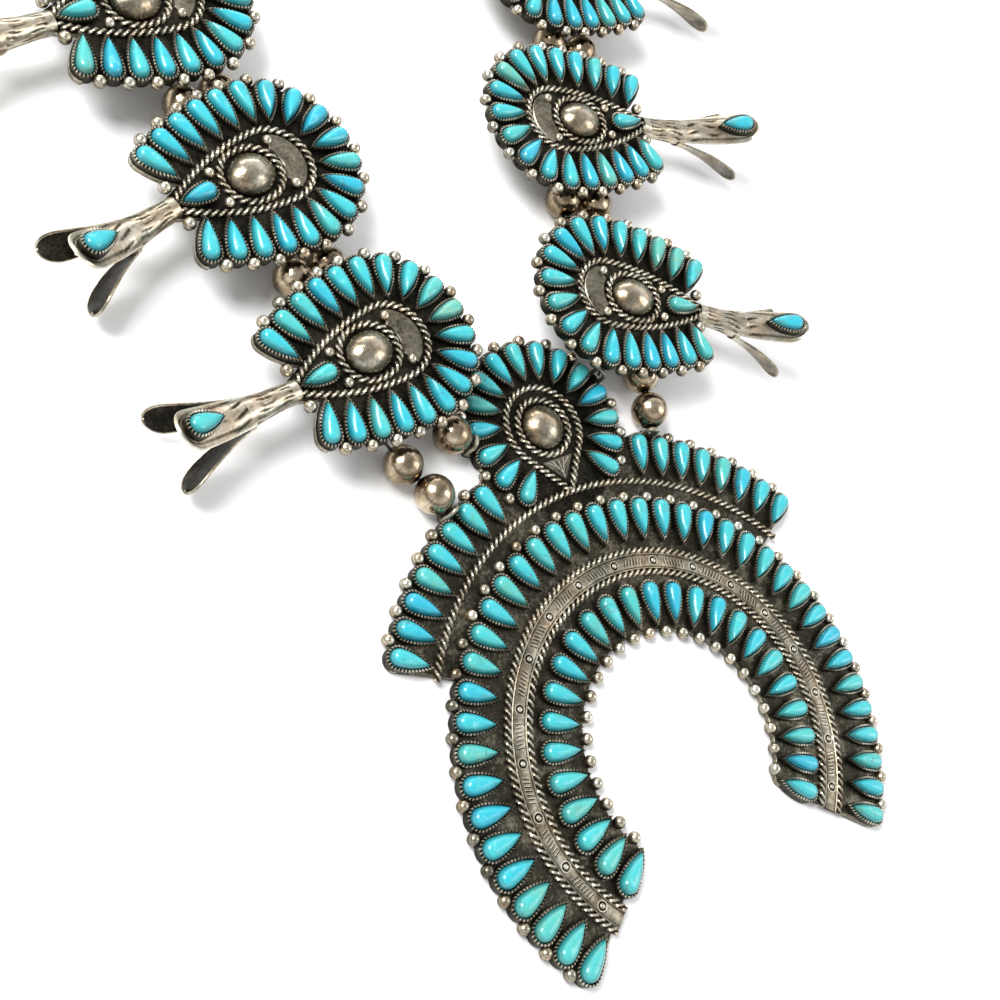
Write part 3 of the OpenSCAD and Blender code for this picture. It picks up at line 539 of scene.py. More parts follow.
def old_silver():
    """Blackened silver: dark in the hollows, bright on worn edges, with warm patches by its tone."""
    m, t, b = material("old_silver", (0.36, 0.33, 0.3), 0.95, 0.3)
    level = maths(t, "ADD", attribute(t, "wear_and_shade"), spread(t, 260, 5, 0.7))
    level = maths(t, "ADD", level, spread(t, 1500, 3, 0.5), clamp=True)
    color = ramp(t, [
        (0.0, (0.008, 0.0075, 0.005)), (0.25, (0.048, 0.045, 0.032)), (0.5, (0.26, 0.24, 0.185)),
        (0.75, (0.6, 0.57, 0.48)), (1.0, (0.9, 0.88, 0.8))], level)
    warm = ramp(t, [(0.4, 1.0), (0.56, (1.0, 0.88, 0.76)), (0.7, (0.95, 0.72, 0.58))], noise(t, 210, 4))
    warmth = ramp(t, [(0.45, 0.15), (0.9, 1.0)], attribute(t, "tone"))
    color = mix(t, warmth, color, mix(t, 1.0, color, warm, "MULTIPLY"))
    t.links.new(color, b.inputs["Base Color"])
    rough = ramp(t, [(0.0, 0.55), (0.45, 0.42), (1.0, 0.34)], level)
    gloss = ramp(t, [(0.76, 0.0), (0.86, 0.17)], attribute(t, "tone"))
    t.links.new(maths(t, "SUBTRACT", rough, gloss, clamp=True), b.inputs["Roughness"])
    bump(t, b, noise(t, 900, 4), 0.3, 0.0002)
    return m


def turquoise():
    """Polished turquoise: its tone runs from blue to green, with pale clouds and fine veins."""
    m, t, b = material("turquoise", (0.05, 0.36, 0.42), 0.0, 0.2)
    b.inputs["Coat Weight"].default_value = 0.25
    b.inputs["Coat Roughness"].default_value = 0.08
    level = maths(t, "ADD", attribute(t, "tone"), spread(t, 330, 5, 0.9, 0.65, 0.6), clamp=True)
    color = ramp(t, [
        (0.0, (0.025, 0.37, 0.5)), (0.2, (0.03, 0.42, 0.5)), (0.45, (0.055, 0.455, 0.475)),
        (0.7, (0.075, 0.43, 0.395)), (0.88, (0.13, 0.4, 0.32)), (1.0, (0.2, 0.37, 0.24))], level)
    pale = ramp(t, [(0.58, 0.0), (0.76, 1.0)], noise(t, 620, 4))
    color = mix(t, maths(t, "MULTIPLY", pale, 0.5), color, (0.3, 0.68, 0.66))
    dull = ramp(t, [(0.6, 0.0), (0.7, 1.0)], noise(t, 450, 2, 0.5, 1.0))
    color = mix(t, maths(t, "MULTIPLY", dull, 0.35), color, (0.13, 0.24, 0.16))
    # Veins: the edges of cells whose places are shifted by noise
    cells = node(t, "ShaderNodeTexVoronoi", Scale=430.0)
    cells.feature = "DISTANCE_TO_EDGE"
    bend = node(t, "ShaderNodeTexNoise", Scale=600.0, Detail=3.0)
    t.links.new(own_place(t), bend.inputs["Vector"])
    shift = t.nodes.new("ShaderNodeVectorMath")
    shift.operation = "MULTIPLY_ADD"
    t.links.new(bend.outputs[1], shift.inputs[0])
    shift.inputs[1].default_value = (0.002, 0.002, 0.002)
    t.links.new(own_place(t), shift.inputs[2])
    t.links.new(shift.outputs[0], cells.inputs["Vector"])
    line = ramp(t, [(0.0, 1.0), (0.055, 0.0)], cells.outputs["Distance"])
    where = ramp(t, [(0.56, 0.0), (0.66, 1.0)], noise(t, 230, 3))
    veins = maths(t, "MULTIPLY", maths(t, "MULTIPLY", line, where), 0.6)
    color = mix(t, veins, color, (0.08, 0.05, 0.03))
    # Painted shade: darker low down beside the cup
    shade = [(0.0, (0.2, 0.28, 0.3)), (0.14, (0.5, 0.6, 0.62)), (0.42, 1.0)]
    color = mix(t, 1.0, color, ramp(t, shade, attribute(t, "wear_and_shade")), "MULTIPLY")
    t.links.new(color, b.inputs["Base Color"])
    bump(t, b, noise(t, 420, 2), 0.22, 0.0004)
    return m


def bead_silver():
    """Polished silver with a warm brown tarnish, darker beside the holes from tarnish and painted shade
    where the beads meet.
    """
    m, t, b = material("bead_silver", (0.5, 0.44, 0.36), 1.0, 0.2)
    level = maths(t, "ADD", attribute(t, "wear_and_shade"), spread(t, 240, 5, 1.5), clamp=True)
    color = ramp(t, [
        (0.1, (0.03, 0.02, 0.013)), (0.45, (0.15, 0.105, 0.065)), (0.75, (0.37, 0.29, 0.195)),
        (1.0, (0.62, 0.53, 0.39))], level)
    t.links.new(color, b.inputs["Base Color"])
    bump(t, b, noise(t, 260, 2), 0.3, 0.0005)
    return m


def thread_cloth():
    m, t, b = material("thread", (0.06, 0.05, 0.045), 0.0, 0.8)
    color = ramp(t, [(0.3, (0.03, 0.026, 0.022)), (0.7, (0.1, 0.085, 0.07))], noise(t, 2500, 2))
    t.links.new(color, b.inputs["Base Color"])
    return m


MATERIALS = {
    "dark_silver": old_silver(), "turquoise": turquoise(), "bead_silver": bead_silver(),
    "thread": thread_cloth()}

# Pieces that repeat
DROPS = {
    "outer": (OUTER_L, OUTER_W), "inner": (INNER_L, INNER_W), "wing": (WING_L, WING_W),
    "crown": (CROWN_L, CROWN_W), "ring": (RING_L, RING_W), "point": (POINT_L, POINT_W),
}
BEZELS, STONES = {}, {}
for kind, (l, w) in DROPS.items():
    BEZELS[kind] = bezel(l, w, CUP_FOOT, CUP_TOP)
    STONES[kind] = stone(l, w, PLATE_T + FIT, CUP_TOP - GIRDLE, STONE_TOP)
BEZELS["petal"] = bezel(PETAL_L, PETAL_W, PETAL_FOOT, PETAL_CUP_H)
STONES["petal"] = stone(PETAL_L, PETAL_W, 0.4, PETAL_CUP_H - GIRDLE, PETAL_CUP_H + PETAL_RISE)
BALL, SMALL_BALL = ball(BALL_R + BALL_MORE), ball(SMALL_BALL_R + SMALL_BALL_MORE)


def one_stone(out, kind, x, y, angle, grow=1.0, green=0.0):
    """A stone with its own tone, a little narrower or shorter than its neighbours."""
    size = (grow - 0.035 * rng.random(), wider(grow) - 0.06 * rng.random(), 1)
    tone = np.clip(rng.normal(0.36, 0.2) + green, 0, 0.95)
    out.stamp(STONES[kind], x, y, 0, angle + rng.normal(0, 0.8), size, tone)


def wider(grow):
    """A stone that grows gets half as much wider again as it gets longer."""
    return 1.5 * grow - 0.5


def setting(out, stones, kind, x, y, angle, grow=1.0, green=0.0):
    """A cup on the metal, and its stone."""
    out.stamp(BEZELS[kind], x, y, 0, angle, (grow, wider(grow), 1))
    one_stone(stones, kind, x, y, angle, grow, green)


def one_ball(out, x, y, piece=BALL, dim=1.0):
    """A ball, each a little brighter or darker and rounder or flatter than the next."""
    size = 0.96 + 0.08 * ball_rng.random()
    turn = 360 * ball_rng.random()
    dim *= 0.72 + 0.28 * ball_rng.random()
    out.stamp(piece, x, y, 0, turn, (size, 2 - size, 1), dim=dim)


# The crescent
def scallop(r, step, depth, shift=0.0):
    """The radius of an edge that bulges at each stone, as a function of the angle."""
    return lambda a: r + depth * (np.cos(2 * pi * (a - shift) / step) * 0.5 + 0.1)


def flat_dome(r, h):
    """A low dome that rises to a soft point."""
    big = (r * r + h * h) / (2 * h)
    a = np.linspace(asin(r / big), 0, 14)
    prof = np.stack([big * np.sin(a), h - big + big * np.cos(a)], 1)
    prof = np.concatenate([[[r, -0.2]], prof])
    rise = np.interp(np.linspace(0, 1, 14), [0, 0.25, 0.6, 1], [0.12, 0.42, 0.6, 0.78])
    return lathe(prof, 40, np.concatenate([[0.0], rise])).toned(0.88)


def wire_loop(leg):
    """Half a ring of wire with two legs, in the plane across x."""
    a = np.linspace(0, pi, 17)
    path = np.stack([np.zeros(17), LOOP_R * np.cos(a), LOOP_R * np.sin(a)], 1)
    path = np.concatenate([[[0, LOOP_R, -leg]], path, [[0, -LOOP_R, -leg]]])
    return tube(path, LOOP_WIRE, 10, 0.55, up=(1, 0, 0))


def near_tip(a):
    """Growth and greener tone of a stone, towards the crescent's left tip."""
    t = min(max((-a - 50) / 50, 0), 1)
    return 1 + 0.07 * t, 0.28 * t


def band(out):
    """The raised strip, with a thin ridge along each edge."""
    edge = BAND_W / 2
    # Columns: distance from the middle of the strip, height, wear
    half = [
        (edge, 0.1, 0.1), (edge, BAND_H - 0.08, 0.45), (edge - 0.16, BAND_H, 0.62),
        (edge - 0.36, BAND_H - 0.22, 0.2), (edge - 0.56, BAND_H - 0.14, 0.46)]
    prof = [(-x, z, q) for x, z, q in half] + [(0, BAND_H - 0.12, 0.5)] + half[::-1]
    t = np.radians(np.linspace(-REACH, REACH, 500))
    lines = []
    for x, z, _ in prof:
        r = BAND_R + x
        lines.append(np.stack([r * np.sin(t), -BAND_R + r * np.cos(t), np.full(len(t), PLATE_T + z)], 1))
    wear_and_shade = np.tile([q for _, _, q in prof], len(t))
    out.add(np.stack(lines, 1), grid_faces(len(t), len(prof)), None, wear_and_shade, 0.75)


def make_naja():
    out = Build()
    replaced = {
        "outer": ("naja_outer_stones",), "wing": ("naja_wing_stones",), "inner": (), "crown": ()}
    stones = {kind: Build() for kind in replaced}
    inner_edge = scallop(INNER_EDGE_R, INNER_STEP, INNER_WAVE)
    outer_edge = scallop(OUTER_EDGE_R, OUTER_STEP, WAVE)
    ends = (
        [OUTER_ROW_R - 4.2, OUTER_ROW_R - 2, OUTER_ROW_R + 2.4, OUTER_EDGE_R], [0.65, 0.62, 0.85, 0.7])
    out.stamp(sector(inner_edge, outer_edge, -REACH, REACH, 0, PLATE_T, ends))
    # The sheet of the wings starts under the outer row
    left, right = -CROWN_TURN - WING_SWEEP, -CROWN_TURN + WING_SWEEP
    inner_edge = lambda a: np.full_like(a, OUTER_EDGE_R - 2.5)
    outer_edge = scallop(WING_EDGE_R, WING_STEP, WAVE, WING_START - CROWN_TURN)
    ends = (
        [OUTER_EDGE_R, WING_ROPE_R, WING_ROW_R - 3.5, WING_ROW_R + 2.4, WING_EDGE_R],
        [0.55, 0.72, 0.66, 1, 0.8])
    out.stamp(sector(inner_edge, outer_edge, left, right, SHEET_STEP, PLATE_T + SHEET_STEP, ends))
    band(out)
    stamps(out)
    ropes = (
        (ROPE_OUTER_R, -REACH, REACH, 260), (ROPE_INNER_R, -REACH, REACH, 260),
        (WING_ROPE_R, left, right, 150))
    for r, a0, a1, n in ropes:
        out.stamp(rope(arc_path(0, -BAND_R, r, 90 - a1, 90 - a0, BALL_Z, n), ROPE_R))
    rows = (
        ("outer", OUTER_HALF, OUTER_STEP, OUTER_ROW_R, OUTER_EDGE_R + BALL_OUT),
        ("inner", INNER_HALF, INNER_STEP, INNER_ROW_R, INNER_EDGE_R - BALL_OUT))
    for kind, half, step, r, _ in rows:
        for i in range(-half, half + 1):
            setting(out, stones[kind], kind, *on_arcs(r, i * step), *near_tip(i * step))
    for kind, half, step, _, r in rows:
        for i in range(-half, half):
            x, y, _ = on_arcs(r, (i + 0.5) * step)
            # Painted shade: the outer balls get darker towards the left tip
            one_ball(out, x, y, dim=0.7 if kind == "outer" and i < -7 else 1.0)
    for k in (-1, 1):
        for i in range(WING_N):
            setting(out, stones["wing"], "wing", *on_wing(WING_ROW_R, k, i))
        for i in range(WING_N - 1):
            # A loop for a string takes the place of one ball
            if i + 0.5 != WING_LOOPS[k]:
                x, y, _ = on_wing(WING_EDGE_R + BALL_OUT, k, i + 0.5)
                one_ball(out, x, y)
    make_crown(out, stones["crown"])
    for x, y, h in LOOPS.values():
        dx, dy = polar(LOOP_IN, h)
        out.stamp(wire_loop(BEAD_R - PLATE_T / 2), x + dx, y + dy, BEAD_R, h)
        out.stamp(prism(around(LOOP_PAD_R, full_turn(28)), 0, PLATE_T), x, y)
    out.mesh("naja_metal", "dark_silver", ("naja",))
    for kind, nodes in replaced.items():
        stones[kind].mesh(f"{kind}_row_stones", "turquoise", nodes, 60)


def stamps(out):
    """Ring stamps along the band, with a group of short lines between each two."""
    top = PLATE_T + BAND_H - 0.13
    ring = Build()
    circle = np.column_stack([around(0.95, full_turn(20)), np.full(20, top)])
    ring.stamp(tube(circle, 0.15, 6, 0.7, closed=True))
    # The dark foot round the knob is oxide and painted shade in the stamped ring
    # Columns: radius, height, wear
    knob = [
        (0.84, 0, 0.1), (0.7, 0.03, 0), (0.58, 0.04, 0), (0.5, 0.2, 0.5), (0.3, 0.32, 0.72),
        (0, 0.36, 0.8)]
    ring.stamp(lathe([(r, top + z) for r, z, _ in knob], 14, [q for _, _, q in knob]))

    def line(half, rise, wear_top, wear_side):
        outline = [(-0.7, -half), (0.7, -half), (0.7, half), (-0.7, half)]
        return prism(outline, top - 0.1, top + rise, wear_top, wear_side, 0.03)

    dark, bright = line(0.09, 0.04, 0.12, 0.0), line(0.05, 0.08, 0.8, 0.5)
    step = 2.3 * OUTER_STEP
    n = int(REACH // step)
    for i in range(-n, n + 1):
        x, y, h = on_arcs(BAND_R, i * step)
        out.stamp(ring, x, y, 0, h)
        lean = 14 if i % 2 else -14
        for k in range(-3, 4) if i < n else ():
            for piece, beside in ((dark, 0), (bright, 0.3)):
                x, y, h = on_arcs(BAND_R, (i + 0.5) * step + k * 1.15 + beside)
                out.stamp(piece, x, y, 0, h + lean)


def make_crown(out, stones):
    cx, cy, axis = on_arcs(CROWN_R, -CROWN_TURN)
    a = np.radians(np.arange(0, 360, 2.0))
    off = (np.degrees(a) + 180) % 360 - 180
    wave = (np.cos(2 * pi * off / CROWN_STEP) * 0.5 - 0.1) * (np.abs(off) < 141)
    edge = CROWN_EDGE_R + WAVE * wave
    # Nearly black sheet: oxide on the silver and painted shade between the cups
    sheet = prism(around(edge, a), 2 * SHEET_STEP, PLATE_T + 2 * SHEET_STEP, 0.05, 0.4)
    out.stamp(sheet, cx, cy, 0, axis)
    # Teardrop rope: a circle, then two straight runs to the point
    tilt = acos(CROWN_ROPE_R / CROWN_POINT)
    end = degrees(pi - tilt)
    point = np.array([[-CROWN_POINT, 0, BALL_Z]])
    drop = np.concatenate([point, arc_path(0, 0, CROWN_ROPE_R, end, -end, BALL_Z, 90), point])
    out.stamp(rope(drop, RING_ROPE_R), cx, cy, 0, axis)
    out.stamp(rope(arc_path(0, 0, CROWN_EYE_R, 0, 358, BALL_Z, 60), RING_ROPE_R, closed=True), cx, cy)
    out.stamp(flat_dome(CROWN_EYE_R - RING_ROPE_R - DOME_GAP, DOME_H), cx, cy, PLATE_T)
    # Stamped wedge in the point
    near, far = CROWN_EYE_R + RING_ROPE_R + 0.3, CROWN_POINT - 2.4
    half = (CROWN_POINT - near) * tan(pi / 2 - tilt) - 1.6
    wedge = [(-far, 0), (-near, -half), (-near, half)]
    out.stamp(prism(wedge, 0.2, PLATE_T + 0.4, 0.35, 0.5, 0.1), cx, cy, 0, axis)
    top = PLATE_T + 0.42
    for k in (-2, -1, 0, 1, 2):
        line = [(-near - 0.3, k * half * 0.36, top), (-far + 0.5 + abs(k) * 1.1, k * half * 0.06, top)]
        out.stamp(tube(line, 0.09, 6, 0.85), cx, cy, 0, axis)
    n = CROWN_N // 2
    for i in range(-n, n + 1):
        setting(out, stones, "crown", *on_crown(CROWN_ROW_R, i * CROWN_STEP))
    for i in range(-n, n):
        if i + 0.5 not in CROWN_LOOPS:
            x, y, _ = on_crown(CROWN_EDGE_R + BALL_OUT, (i + 0.5) * CROWN_STEP)
            one_ball(out, x, y)


# The blossom plates
def path_at(s):
    """Place and heading along the middle line of a plate's stones."""
    a, k = abs(s), (1 if s >= 0 else -1)
    if a <= PATH_TURN:
        t = pi - a / PATH_EYE
        return PATH_EYE * cos(t), k * PATH_EYE * sin(t), k * degrees(t)
    t = pi / 2 - (a - PATH_TURN) / PATH_SIDE
    return PATH_SIDE * cos(t), k * (PATH_SIDE * sin(t) - SIDE_DROP), k * degrees(t)


def leaf_outline():
    """The sheet of a plate: it follows each stone's outer end, then turns in to the tip."""
    last = RING_HALF * RING_PITCH
    edge = []
    for s in np.linspace(-last, last, 240):
        x, y, h = path_at(s)
        wave = cos(2 * pi * s / RING_PITCH) * 0.5 - 0.1
        dx, dy = polar(RING_L / 2 - 0.1 + PLATE_WAVE * wave, h)
        edge.append((x + dx, y + dy))
    x, y, h = path_at(last)
    c, s = polar(1, h)
    corner = [q for q in drop_outline(RING_L, RING_W, CUP_OFF + 0.2, 60) if q[1] > 0]
    corner.sort(key=lambda q: -q[0])
    tail = [(x + qx * c + qy * s, y + qx * s - qy * c) for qx, qy in corner] + [(TIP_L + 1.2, TIP_HALF)]
    return np.array(edge + tail + [(qx, -qy) for qx, qy in tail[::-1]])[::-1]


def round_x(u, r, a):
    """Points at distances u along x, at a radius r and an angle a round it."""
    y, z = r * np.sin(a), r * np.cos(a)
    return np.stack([np.broadcast_to(u[:, None], y.shape), y, z], 2)


def flare(x, end_r, full):
    """Outer radius of a blossom of this full length at a distance x from the tip of the rope."""
    t = np.clip((np.asarray(x, float) + TUBE_SINK) / (full + TUBE_SINK), 0, 1.2)
    return TUBE_R + (end_r - TUBE_R) * t**FLARE_POWER


def petal(end_r, wide, full, short, turn, rim=0.34, root=7.6, bare=False):
    """A tongue of sheet on the flaring shell, with a raised rim. A bare one is smooth and darkens to its
    end, painted shade where it turns back and down."""
    out = Build()
    long, nose = full - short, wide * 0.46
    start, end_x = TUBE_L - 0.8, long - nose
    tip = end_x + nose * np.sin(np.linspace(0.1, pi / 2, 11))
    u = np.concatenate([np.linspace(start, end_x, 30), tip])
    t = np.clip((u - start) / (end_x - start), 0, 1)
    w = np.where(
        u <= end_x, root / 2 + (wide - root) / 2 * t * t * (3 - 2 * t),
        wide / 2 * np.sqrt(np.maximum(1 - ((u - end_x) / nose) ** 2, 1e-4)))
    m = 29
    s = np.linspace(-1, 1, m)
    r = flare(u, end_r, full)[:, None]
    ang = radians(turn) + np.clip(s * w[:, None] / r, -1.35, 1.35)
    along = np.interp(u, [TUBE_L, TUBE_L + 4], [0, 1])[:, None]
    cup = 0.4 * (1 - s ** 2) * along
    if bare:
        groove = 0 * ang
        # Painted shade: a bare petal darkens towards its end
        wear_and_shade = np.interp(u, [TUBE_L, long], [0.75, 0.3])[:, None] + groove
    else:
        stop = full - PETAL_END - PETAL_L
        plain = np.interp(u, [stop - 1, stop + 1], [1, 0])[:, None]
        groove = feather(u[:, None], s * w[:, None] / 2) * plain
        line = np.exp(-(((1 - np.abs(s)) * w[:, None] - 0.95) / 0.22) ** 2)
        groove = np.maximum(groove, line * along)
        wear_and_shade = 0.72 - 0.5 * groove

    def sheet(radius, value, flip):
        v = round_x(u, radius, ang)
        f = grid_faces(len(u), m, loop_m=False)
        out.add(v, f[:, ::-1] if flip else f, None, value)
        return v

    top = sheet(r - cup - 0.1 * groove, wear_and_shade.ravel(), False)
    low = sheet(r - cup - PETAL_T + 0.12, 0.06, True)
    ring_top = np.concatenate([top[:, 0], top[-1, 1:-1], top[::-1, -1]])
    ring_low = np.concatenate([low[:, 0], low[-1, 1:-1], low[::-1, -1]])
    out.add(np.stack([ring_top, ring_low], 1), grid_faces(len(ring_top), 2, loop_m=False), None, 0.7)
    out.stamp(tube((ring_top + ring_low) / 2, rim, 8, 0.55 if bare else 0.85))
    return out


def feather(u, q):
    """Depth, 0 to 1, of long strokes along a blossom: u along it and q round it, in millimetres."""
    lines = np.sin(2 * pi * q + 1.5 * np.sin(0.85 * u))
    breaks = 0.62 + 0.38 * np.cos(2 * pi * u / 5.2 - 1.4 * np.abs(q))
    return np.clip(1.9 * lines * breaks - 0.45, 0, 1)


def tube_part(full):
    """The blossom's stem: a tube engraved with long strokes."""
    out = Build()
    u = np.linspace(-TUBE_SINK, TUBE_L + 0.3, 84)
    a = full_turn(64)
    round_it = (a + pi) % (2 * pi) - pi
    groove = feather(u[:, None], round_it * 2.5)
    fade = np.interp(u, [-1.2, 0.2, 0.6, TUBE_L - 0.6, TUBE_L + 0.2], [0, 0, 1, 1, 0])[:, None]
    r = flare(u, FRONT_R, full)[:, None] - 0.1 * groove * fade
    v = round_x(u, r, a)
    wear_and_shade = 0.72 - 0.5 * groove * fade
    out.add(v, grid_faces(len(u), 64), None, wear_and_shade.ravel())
    hollow = flare(u[-30:], FRONT_R, full)[:, None] - PETAL_T
    inner = round_x(u[-30:], hollow, a)
    out.add(inner, grid_faces(30, 64)[:, ::-1], None, 0.0)
    end = np.concatenate([v[-1], inner[-1]])
    i = np.arange(64)
    j = (i + 1) % 64
    out.add(end, np.stack([i, j, 64 + j, 64 + i], 1), None, 0.5)
    return out


def blossom(full):
    """The metal of a blossom, and the place of the stone on its front petal."""
    out = Build()
    out.stamp(tube_part(full))
    out.stamp(petal(FRONT_R, FRONT_W - 0.6, full, 0.4, 0))
    for k in (-1, 1):
        out.stamp(petal(BACK_R, BACK_W - 0.5, full, 1.05, k * BACK_TURN, 0.24, 3.6, True))
    x = full - PETAL_END - PETAL_L / 2
    slope = atan((flare(x + 1, FRONT_R, full) - flare(x - 1, FRONT_R, full)) / 2)
    seat = Matrix.Translation((x, 0, float(flare(x, FRONT_R, full)))) @ Matrix.Rotation(-slope, 4, "Y")
    out.toned(0.8)
    out.stamp(BEZELS["petal"].turned(seat))
    return out, seat


def plate_metal():
    """The flat part of a plate: its sheet, ropes, dome and pad."""
    out = Build()
    # The sheet is nearly black: oxide on the silver and painted shade between the cups
    out.stamp(prism(leaf_outline(), 0, PLATE_T, 0.08, 0.35))
    back = arc_path(0, 0, EYE_R, 90, 270, BALL_Z, 60)
    low = arc_path(0, SIDE_DROP, SIDE_R, -90, -90 + SIDE_ANGLE, BALL_Z, 40)
    out.stamp(rope(np.concatenate([back, low[1:]]), RING_ROPE_R))
    out.stamp(rope(low[::-1] * [1, -1, 1], RING_ROPE_R))
    near, far = OVAL_X - OVAL_L / 2, OVAL_X + OVAL_L / 2
    ends = arc_path(near, 0, OVAL_R, 90, 270, BALL_Z, 30), arc_path(far, 0, OVAL_R, -90, 90, BALL_Z, 30)
    out.stamp(rope(np.concatenate(ends), RING_ROPE_R, closed=True))
    r = OVAL_R - RING_ROPE_R - DOME_GAP
    out.stamp(flat_dome(r, DOME_H), OVAL_X, 0, PLATE_T, 0, (1 + OVAL_L / 2 / r, 1, 1))
    outer = arc_path(0, 0, EYE_R - RING_ROPE_R - 0.4, 112, 248, 0, 40)
    hollow = arc_path(near, 0, OVAL_R + RING_ROPE_R + 0.35, 238, 122, 0, 40)
    hollow = hollow[hollow[:, 0] < -0.6]
    pad = np.concatenate([outer, hollow])[:, :2]
    out.stamp(prism(pad, 0.5, PLATE_T + PAD_H, 0.4, 0.5, 0.2))
    return out


def make_plate(side, index):
    """One plate, its stones and its shanks. index is 1 for the plate next to the crescent."""
    x, y, turn, bend, share = place_of(side, index)
    out, rim, extra = plate_metal(), Build(), Build()
    for i in range(-RING_HALF, RING_HALF + 1):
        setting(out, rim, "ring", *path_at(i * RING_PITCH))
    for i in range(-RING_HALF, RING_HALF):
        px, py, h = path_at((i + 0.5) * RING_PITCH)
        dx, dy = polar(RING_BALL, h)
        one_ball(out, px + dx, py + dy)
    setting(out, extra, "point", POINT_X, 0, 180)
    for s in (-1, 1):
        for (px, py), piece in ((PAD_BALL, SMALL_BALL), (OVAL_BALL, SMALL_BALL), (TIP_BALL, BALL)):
            one_ball(out, px, s * py, piece)
    move = Matrix.Translation((TIP_L, 0, PLATE_T / 2)) @ Matrix.Rotation(radians(bend), 4, "Z")
    metal, seat = blossom(BLOSSOM_L * share)
    out.stamp(metal.turned(move))
    petal_stone = Build()
    one_stone(petal_stone, "petal", 0, 0, 0)
    extra.stamp(petal_stone.turned(move @ seat))
    whole = out.moved(x, y, LIFT, turn)
    shank = wire_loop(LIFT - BEAD_R + PLATE_T / 2).turned(Matrix.Rotation(pi, 4, "X"))
    for p, c in (ROUTES[f"{side}_inner"], ROUTES[f"{side}_outer"]):
        for e in (-1, 1):
            q, way = at_length(p, c, shank_length(p, c, side, index, e))
            whole.stamp(shank, q[0], q[1], BEAD_R, degrees(atan2(way[1], way[0])))
    name = f"{side}_plate_{index}"
    whole.mesh(f"{name}_metal", "dark_silver", (name,))
    rim = rim.moved(x, y, LIFT, turn)
    rim.mesh(f"{name}_stones", "turquoise", (f"{side}_stones_{index}",), 60)
    extra = extra.moved(x, y, LIFT, turn)
    extra.mesh(f"{name}_point_and_petal_stones", "turquoise", (), 60)


# The strings
def place_of(side, index):
    """Place of a plate, and the last three values of its row."""
    q = np.array(FIRST[side], float)
    for heading, gap, *_ in ROWS[side][: index - 1]:
        q = q + np.array(polar(2 * PLATE_HALF + gap, heading))
    return (q[0], q[1]) + ROWS[side][index - 1][2:]


# Place and heading of each string's loop. The left inner one leans outwards.
x, y, h = on_crown(CROWN_EDGE_R, CROWN_LOOPS[0] * CROWN_STEP)
LOOPS = {
    "left_outer": on_wing(WING_EDGE_R, -1, WING_LOOPS[-1]),
    "right_outer": on_wing(WING_EDGE_R, 1, WING_LOOPS[1]),
    "left_inner": (x, y, h - 30),
    "right_inner": on_crown(CROWN_EDGE_R, CROWN_LOOPS[1] * CROWN_STEP),
}


def route_of(name):
    """Points of a string from its loop to the clasp, through a smooth curve, and their lengths."""
    line = np.array(LINES[name.split("_")[0]], float)
    side = 1 if name in ("left_outer", "right_inner") else -1
    way = ways(line)
    beside = line + side * HALF_SPACE * np.stack([-way[:, 1], way[:, 0]], 1)
    x, y, h = LOOPS[name]
    start = np.array([x, y]) - polar(0.2, h)
    pts = [start] + [np.array(q, float) for q in LEADS[name]] + list(beside)
    out, n = [], len(pts)
    for i in range(n - 1):
        a, b, c, d = pts[max(i - 1, 0)], pts[i], pts[i + 1], pts[min(i + 2, n - 1)]
        bend, swing = 2 * a - 5 * b + 4 * c - d, 3 * b - a - 3 * c + d
        for t in (0, 0.25, 0.5, 0.75):
            out.append(0.5 * (2 * b + (c - a) * t + bend * t * t + swing * t**3))
    out.append(pts[-1])
    p = np.column_stack([np.array(out), np.full(len(out), BEAD_R)])
    return p, lengths(p)


def at_length(p, c, s):
    """Place and direction of a string at a length s from its start."""
    k = int(np.clip(np.searchsorted(c, max(s, 0), "right") - 1, 0, len(c) - 2))
    leg = p[k + 1] - p[k]
    return p[k] + leg * (s - c[k]) / (c[k + 1] - c[k]), unit(leg)


def shank_length(p, c, side, index, e):
    """How far along a string it meets the lower shank (e -1) or the upper one (1) of a plate."""
    x, y, turn = place_of(side, index)[:3]
    t = radians(turn)
    v = np.array([-sin(t), cos(t)])
    v = -v if v[1] < 0 else v
    q = np.array([x, y]) + e * SHANK_V * v
    i = int(np.linalg.norm(p[:, :2] - q, axis=1).argmin())
    way = unit(p[min(i + 1, len(p) - 1)] - p[max(i - 1, 0)])
    return c[i] + (q - p[i, :2]) @ way[:2]


def bead_shape():
    """Two half shells joined at a faint seam, with a bore through them."""
    a0, middle, seam = asin(BORE_R / BEAD_R), pi / 2, 0.05
    half = np.linspace(a0, middle - seam, 12)
    a = np.concatenate([half, [middle], np.linspace(middle + seam, pi - a0, 12)])
    r = np.full(len(a), BEAD_R)
    r[12] -= 0.03
    prof = around(r, a)[:, ::-1]
    # Tarnish and painted shade: darker towards the holes, where the beads meet
    wear_and_shade = 0.3 + 0.5 * np.sin(a) ** 0.8
    wear_and_shade[12] = 0.6
    wear_and_shade[:2] = wear_and_shade[-2:] = 0.15
    z = BEAD_R * cos(a0)
    bore = [BORE_R, 0.0]
    prof = np.concatenate([[bore, [BORE_R, z - 0.02]], prof, [[BORE_R, -z + 0.02], bore]])
    wear_and_shade = np.concatenate([[0, 0], wear_and_shade, [0, 0]])
    return lathe(prof, 28, wear_and_shade)


BEAD = bead_shape()


